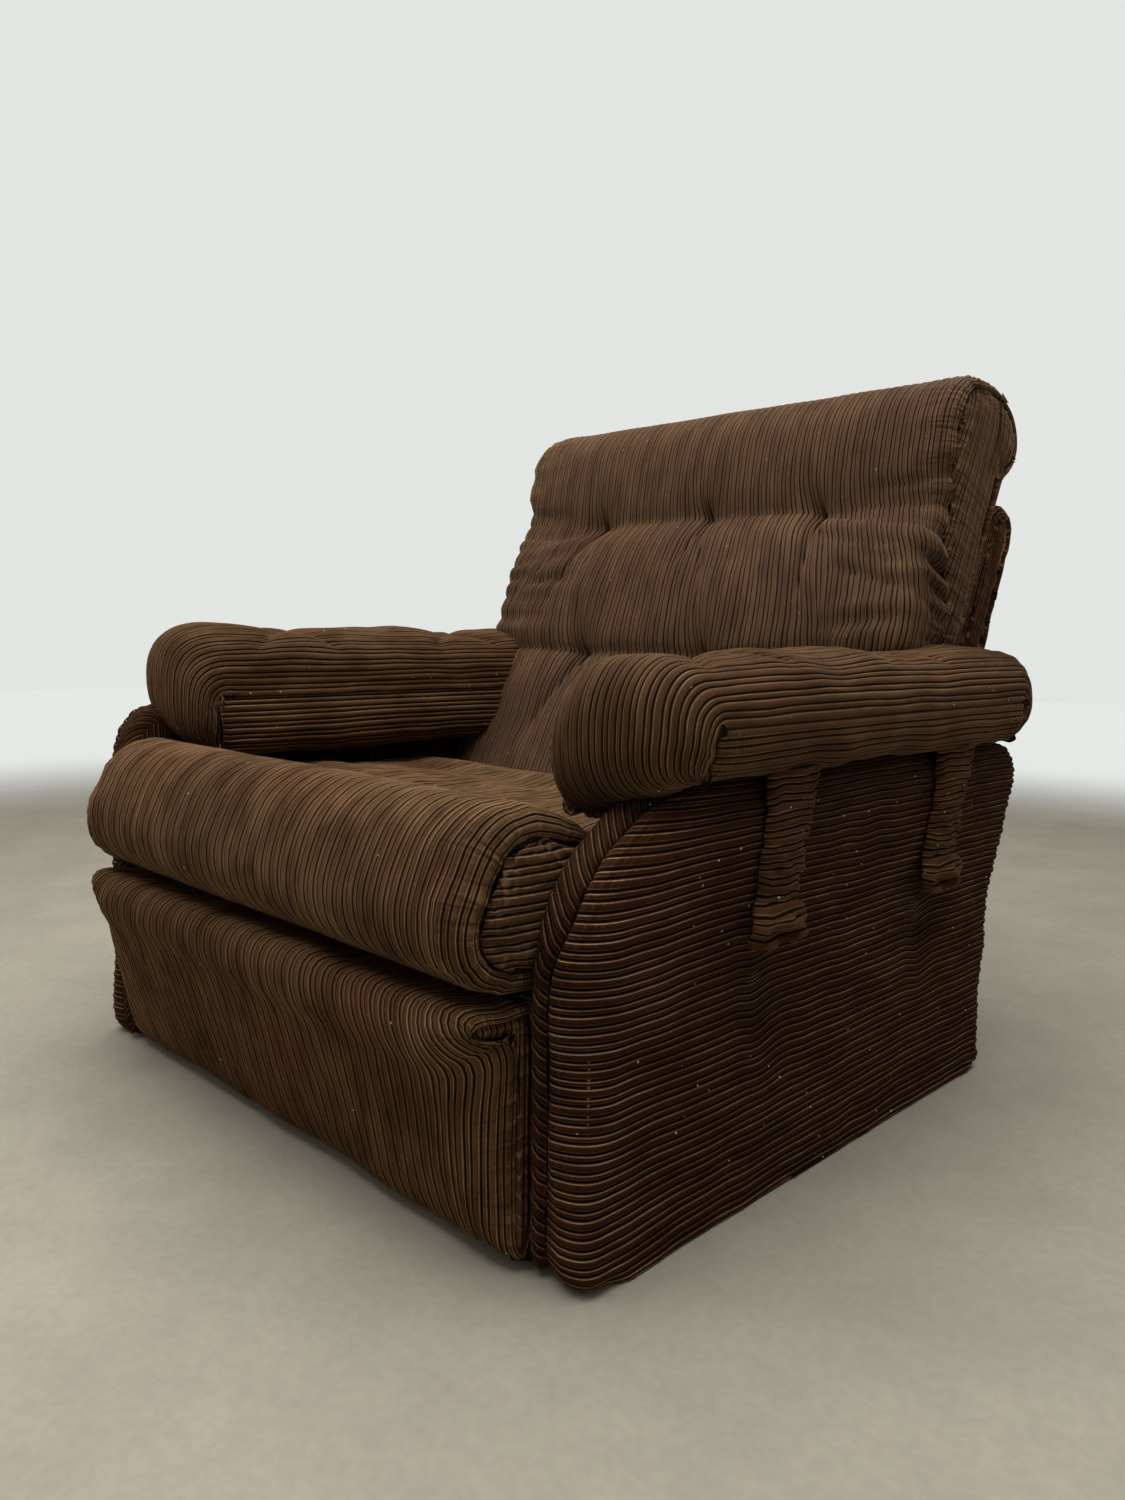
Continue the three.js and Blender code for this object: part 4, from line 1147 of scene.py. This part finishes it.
def plain_finish(name, group):
    values = dict(zip(("Light", "Dark", "Stretch", "Fine", "Dust"), PLAIN_FINISHES[name]))
    material, shader = new_material(name, group, values, BUMPS.get(name, 0.0006))
    shader.inputs["Metallic"].default_value = METALLIC.get(name, 0.0)
    return material


def finish_of(node_name):
    """The finish of a part under the cloth, by a word in its name; the rest is timber."""
    kinds = [finish for word, finish in FINISH_WORDS.items() if word in node_name]
    return kinds[0] if kinds else "softwood"


def corduroy_of(piece):
    """The corduroy of one group of pieces, as the finishes step made it."""
    material = bpy.data.materials.get("corduroy_" + piece)
    if material is None:
        raise RuntimeError(f"no corduroy for the {piece}: run the finishes step first")
    return material


# ---- settings --------------------------------------------------------------------------------------
class CorduroySettings(bpy.types.PropertyGroup):
    """Colours of the worn corduroy, with the painted highlight on the edges of its wales and the painted
    shade in its grooves.
    """

    pile: FloatVectorProperty(
        name="Pile", description="Colour of the pile where it stands", subtype="COLOR", size=3,
        default=(0.050, 0.021, 0.008), min=0, max=1)
    worn: FloatVectorProperty(
        name="Worn", description="Colour where the pile is rubbed or lies flat", subtype="COLOR", size=3,
        default=(0.150, 0.083, 0.037), min=0, max=1)
    # painted highlight: the colour given to the edges of the wales where light would catch them
    rim_highlight: FloatVectorProperty(
        name="Rim highlight", description="Colour of the bald edges of the wales", subtype="COLOR", size=3,
        default=(0.32, 0.19, 0.095), min=0, max=1)
    # the groove colour is the backing between the wales, painted near black for the shade in the grooves
    groove: FloatVectorProperty(
        name="Groove shade", description="Colour of the backing between the wales", subtype="COLOR", size=3,
        default=(0.006, 0.003, 0.0015), min=0, max=1)
    rust: FloatVectorProperty(
        name="Rust", description="Colour where the dye has turned red", subtype="COLOR", size=3,
        default=(0.085, 0.028, 0.012), min=0, max=1)


class CushionSettings(bpy.types.PropertyGroup):
    """Sizes of the cushions, which settle and shift with use."""

    seat_tufts: FloatProperty(
        name="Seat tufts", description="How deep the tufts of the seat are drawn in", subtype="DISTANCE",
        unit="LENGTH", default=0.032, min=0, max=0.06)
    back_tufts: FloatProperty(
        name="Back tufts", description="How deep the upper tufts of the back are drawn in",
        subtype="DISTANCE", unit="LENGTH", default=0.030, min=0, max=0.06)
    right_arm_top: FloatProperty(
        name="Right arm top", description="Height of the crown of the right arm cushion",
        subtype="DISTANCE", unit="LENGTH", default=0.549, min=0.53, max=0.59)
    left_arm_top: FloatProperty(
        name="Left arm top", description="Height of the crown of the left arm cushion",
        subtype="DISTANCE", unit="LENGTH", default=0.567, min=0.53, max=0.59)
    right_arm_front: FloatProperty(
        name="Right arm front", description="Y of the front of the right arm cushion",
        subtype="DISTANCE", unit="LENGTH", default=-0.378, min=-0.44, max=-0.3)
    left_arm_front: FloatProperty(
        name="Left arm front", description="Y of the front of the left arm cushion",
        subtype="DISTANCE", unit="LENGTH", default=-0.404, min=-0.44, max=-0.3)


class StageSettings(bpy.types.PropertyGroup):
    """Camera, floor, wall and light."""

    camera_place: FloatVectorProperty(
        name="Camera", description="Where the camera stands", subtype="TRANSLATION", unit="LENGTH", size=3,
        default=(1.0396, -1.0541, 0.565))
    camera_turn: FloatProperty(
        name="Turn", description="Compass turn of the camera", subtype="ANGLE", unit="ROTATION",
        default=math.radians(45))
    camera_dip: FloatProperty(
        name="Dip", description="How far the camera looks down", subtype="ANGLE", unit="ROTATION",
        default=math.radians(6.29))
    camera_roll: FloatProperty(
        name="Roll", description="How far the camera leans", subtype="ANGLE", unit="ROTATION",
        default=math.radians(0.77))
    lens: FloatProperty(
        name="Lens", description="Focal length in millimetres", default=26.136, min=10, max=200)
    floor_colour: FloatVectorProperty(
        name="Floor", description="Colour of the floor", subtype="COLOR", size=3, default=(0.33, 0.303, 0.24),
        min=0, max=1)
    wall_colour: FloatVectorProperty(
        name="Wall", description="Colour of the wall that the floor fades into", subtype="COLOR", size=3,
        default=(0.765, 0.79, 0.765), min=0, max=1)
    key_power: FloatProperty(
        name="Key light", description="Power of the large light over the chair", unit="POWER", default=120,
        min=0)
    fill_power: FloatProperty(
        name="Fill light", description="Power of the light at the front left", unit="POWER", default=8, min=0)


SETTINGS = {"armchair_cloth": CorduroySettings, "armchair_cushions": CushionSettings,
            "armchair_stage": StageSettings}

# ---- stage -----------------------------------------------------------------------------------------
SENSOR = 36                               # millimetres across
FLOOR_RADIUS, FLOOR_CORNERS = 9, 96
FLOOR_FADE = (2.2, 3.9)                   # metres out from the chair where the floor turns into the wall
KEY_PLACE, KEY_AIM, KEY_SIZE = (0.0, -0.3, 2.7), (0, 0, 0.3), 3.0
FILL_PLACE, FILL_AIM, FILL_SIZE = (-1.7, -2.6, 1.7), (0, -0.2, 0.4), 1.6
ROOM_LIGHT, ROOM_STRENGTH = (0.87, 0.85, 0.81, 1), 0.32


def add_camera(scene, settings):
    camera = bpy.data.objects.new("camera", bpy.data.cameras.new("camera"))
    camera.data.lens = settings.lens
    camera.data.sensor_width = SENSOR
    camera.location = settings.camera_place
    look = Euler((QUARTER - settings.camera_dip, 0, settings.camera_turn)).to_matrix()
    camera.rotation_euler = (look @ Matrix.Rotation(settings.camera_roll, 3, "Z")).to_euler()
    scene.collection.objects.link(camera)
    scene.camera = camera


def floor_material(settings):
    """Cloudy, speckled concrete that fades into the light of the wall far from the chair."""
    material = bpy.data.materials.new("floor_concrete")
    material.use_nodes = True
    tree = material.node_tree
    shader = tree.nodes["Principled BSDF"]
    spot = new_node(tree, "ShaderNodeNewGeometry").outputs["Position"]
    cloud, speck = noise(tree, spot, 5.0, 6, 0.7), noise(tree, spot, 90.0, 3, 0.6)
    shade = Vector(settings.floor_colour)
    colour = mix_colour(tree, span(tree, cloud, 0.3, 0.7), (*(shade * 0.92), 1), (*(shade * 1.07), 1))
    colour = mix_colour(tree, span(tree, speck, 0.35, 0.65, 0.0, 0.12), colour, (*(shade * 0.5), 1))
    distance = new_node(tree, "ShaderNodeVectorMath", {"operation": "LENGTH"}, Vector=spot).outputs["Value"]
    far = span(tree, distance, *FLOOR_FADE)
    tree.links.new(mix_colour(tree, far, colour, (0, 0, 0, 1)), shader.inputs["Base Color"])
    tree.links.new(far, shader.inputs["Emission Strength"])
    shader.inputs["Emission Color"].default_value = (*settings.wall_colour, 1)
    shader.inputs["Roughness"].default_value = 0.7
    shader.inputs["Specular IOR Level"].default_value = 0.3
    return material


def add_floor(scene, settings):
    mesh = bpy.data.meshes.new("floor")
    angles = np.linspace(0, 2 * math.pi, FLOOR_CORNERS, endpoint=False)
    ring = [(FLOOR_RADIUS * math.cos(angle), FLOOR_RADIUS * math.sin(angle), 0) for angle in angles]
    mesh.from_pydata(ring, [], [range(FLOOR_CORNERS)])
    mesh.materials.append(floor_material(settings))
    floor = bpy.data.objects.new("floor", mesh)
    scene.collection.objects.link(floor)


def add_light(scene, name, power, place, aim, size):
    light = bpy.data.lights.new(name, "AREA")
    light.energy, light.size = power, size
    lamp = bpy.data.objects.new(name, light)
    lamp.location = place
    lamp.rotation_euler = (Vector(aim) - Vector(place)).to_track_quat("-Z", "Y").to_euler()
    scene.collection.objects.link(lamp)


def add_room(scene, settings):
    """Even light from all round, and the plain wall colour where the camera looks past the floor."""
    world = bpy.data.worlds.new("room")
    world.use_nodes = True
    tree = world.node_tree
    light = tree.nodes["Background"]
    light.inputs["Color"].default_value = ROOM_LIGHT
    light.inputs["Strength"].default_value = ROOM_STRENGTH
    wall = new_node(tree, "ShaderNodeBackground", None, Color=(*settings.wall_colour, 1), Strength=1.0)
    ray = tree.nodes.new("ShaderNodeLightPath")
    mixer = tree.nodes.new("ShaderNodeMixShader")
    sources = (ray.outputs["Is Camera Ray"], light.outputs[0], wall.outputs[0])
    for source, socket in zip(sources, mixer.inputs):
        tree.links.new(source, socket)
    tree.links.new(mixer.outputs[0], tree.nodes["World Output"].inputs["Surface"])
    scene.world = world
    scene.view_settings.view_transform = "Standard"


# ---- operators -------------------------------------------------------------------------------------
class ARMCHAIR_OT_stage(bpy.types.Operator):
    """Camera, floor, backdrop and soft light"""
    bl_idname = "armchair.stage"
    bl_label = "Stage"

    def execute(self, context):
        scene, settings = context.scene, context.scene.armchair_stage
        add_camera(scene, settings)
        add_floor(scene, settings)
        add_light(scene, "key", settings.key_power, KEY_PLACE, KEY_AIM, KEY_SIZE)
        add_light(scene, "fill", settings.fill_power, FILL_PLACE, FILL_AIM, FILL_SIZE)
        add_room(scene, settings)
        return {"FINISHED"}


class ARMCHAIR_OT_finishes(bpy.types.Operator):
    """Materials for the cloth and for the frame under it"""
    bl_idname = "armchair.finishes"
    bl_label = "Finishes"

    def execute(self, context):
        group, grain = wale_group(), grain_group()
        for piece, values in CORDUROYS.items():
            corduroy(piece, context.scene.armchair_cloth, group, **values)
        finishes = {name: plain_finish(name, grain) for name in PLAIN_FINISHES}
        for name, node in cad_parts.items():
            node.data.materials.clear()
            node.data.materials.append(finishes[finish_of(name)])
        return {"FINISHED"}


class ARMCHAIR_OT_seat(bpy.types.Operator):
    """Seat cushion, buttoned, with a rolled front"""
    bl_idname = "armchair.seat"
    bl_label = "Seat cushion"

    def execute(self, context):
        build_seat(corduroy_of("seat"), in_mm(context.scene.armchair_cushions.seat_tufts))
        return {"FINISHED"}


class ARMCHAIR_OT_back(bpy.types.Operator):
    """Back cushion with its neck roll, and the padded panel behind it"""
    bl_idname = "armchair.back"
    bl_label = "Back cushion and panel"

    def execute(self, context):
        build_back(corduroy_of("back"), in_mm(context.scene.armchair_cushions.back_tufts))
        build_back_panel(corduroy_of("side"))
        return {"FINISHED"}


class ARMCHAIR_OT_apron(bpy.types.Operator):
    """Padded apron under the front of the seat"""
    bl_idname = "armchair.apron"
    bl_label = "Apron"

    def execute(self, context):
        build_apron(corduroy_of("apron"))
        return {"FINISHED"}


class ARMCHAIR_OT_sides(bpy.types.Operator):
    """Covers of the two side panels, and the straps on them"""
    bl_idname = "armchair.sides"
    bl_label = "Side covers and straps"

    def execute(self, context):
        for name, side in SIDES.items():
            build_side(name, side, corduroy_of("side"))
            for end in STRAP_ENDS:
                build_strap(end, name, side, corduroy_of("strap"))
        return {"FINISHED"}


class ARMCHAIR_OT_arms(bpy.types.Operator):
    """The two arm cushions"""
    bl_idname = "armchair.arms"
    bl_label = "Arm cushions"

    def execute(self, context):
        settings = context.scene.armchair_cushions
        for name, side in SIDES.items():
            front, top = (in_mm(getattr(settings, f"{name}_arm_{end}")) for end in ("front", "top"))
            build_arm(name, side, front, top, corduroy_of("arm"))
        return {"FINISHED"}


STEPS = (ARMCHAIR_OT_stage, ARMCHAIR_OT_finishes, ARMCHAIR_OT_seat, ARMCHAIR_OT_back, ARMCHAIR_OT_apron,
         ARMCHAIR_OT_sides, ARMCHAIR_OT_arms)


class ARMCHAIR_PT_panel(bpy.types.Panel):
    """Lists the armchair's settings and steps"""
    bl_idname = "ARMCHAIR_PT_panel"
    bl_label = "Armchair"
    bl_space_type = "VIEW_3D"
    bl_region_type = "UI"
    bl_category = "Armchair"

    def draw(self, context):
        for name, group in SETTINGS.items():
            for key in group.__annotations__:
                self.layout.prop(getattr(context.scene, name), key)
        for step in STEPS:
            self.layout.operator(step.bl_idname)


CLASSES = (*SETTINGS.values(), *STEPS, ARMCHAIR_PT_panel)


def register():
    for item in CLASSES:
        bpy.utils.register_class(item)
    for name, group in SETTINGS.items():
        setattr(bpy.types.Scene, name, PointerProperty(type=group))


def unregister():
    for name in SETTINGS:
        delattr(bpy.types.Scene, name)
    for item in reversed(CLASSES):
        bpy.utils.unregister_class(item)


def main():
    register()
    for step in STEPS:
        group, name = step.bl_idname.split(".")
        getattr(getattr(bpy.ops, group), name)()


if __name__ == "__main__":
    main()
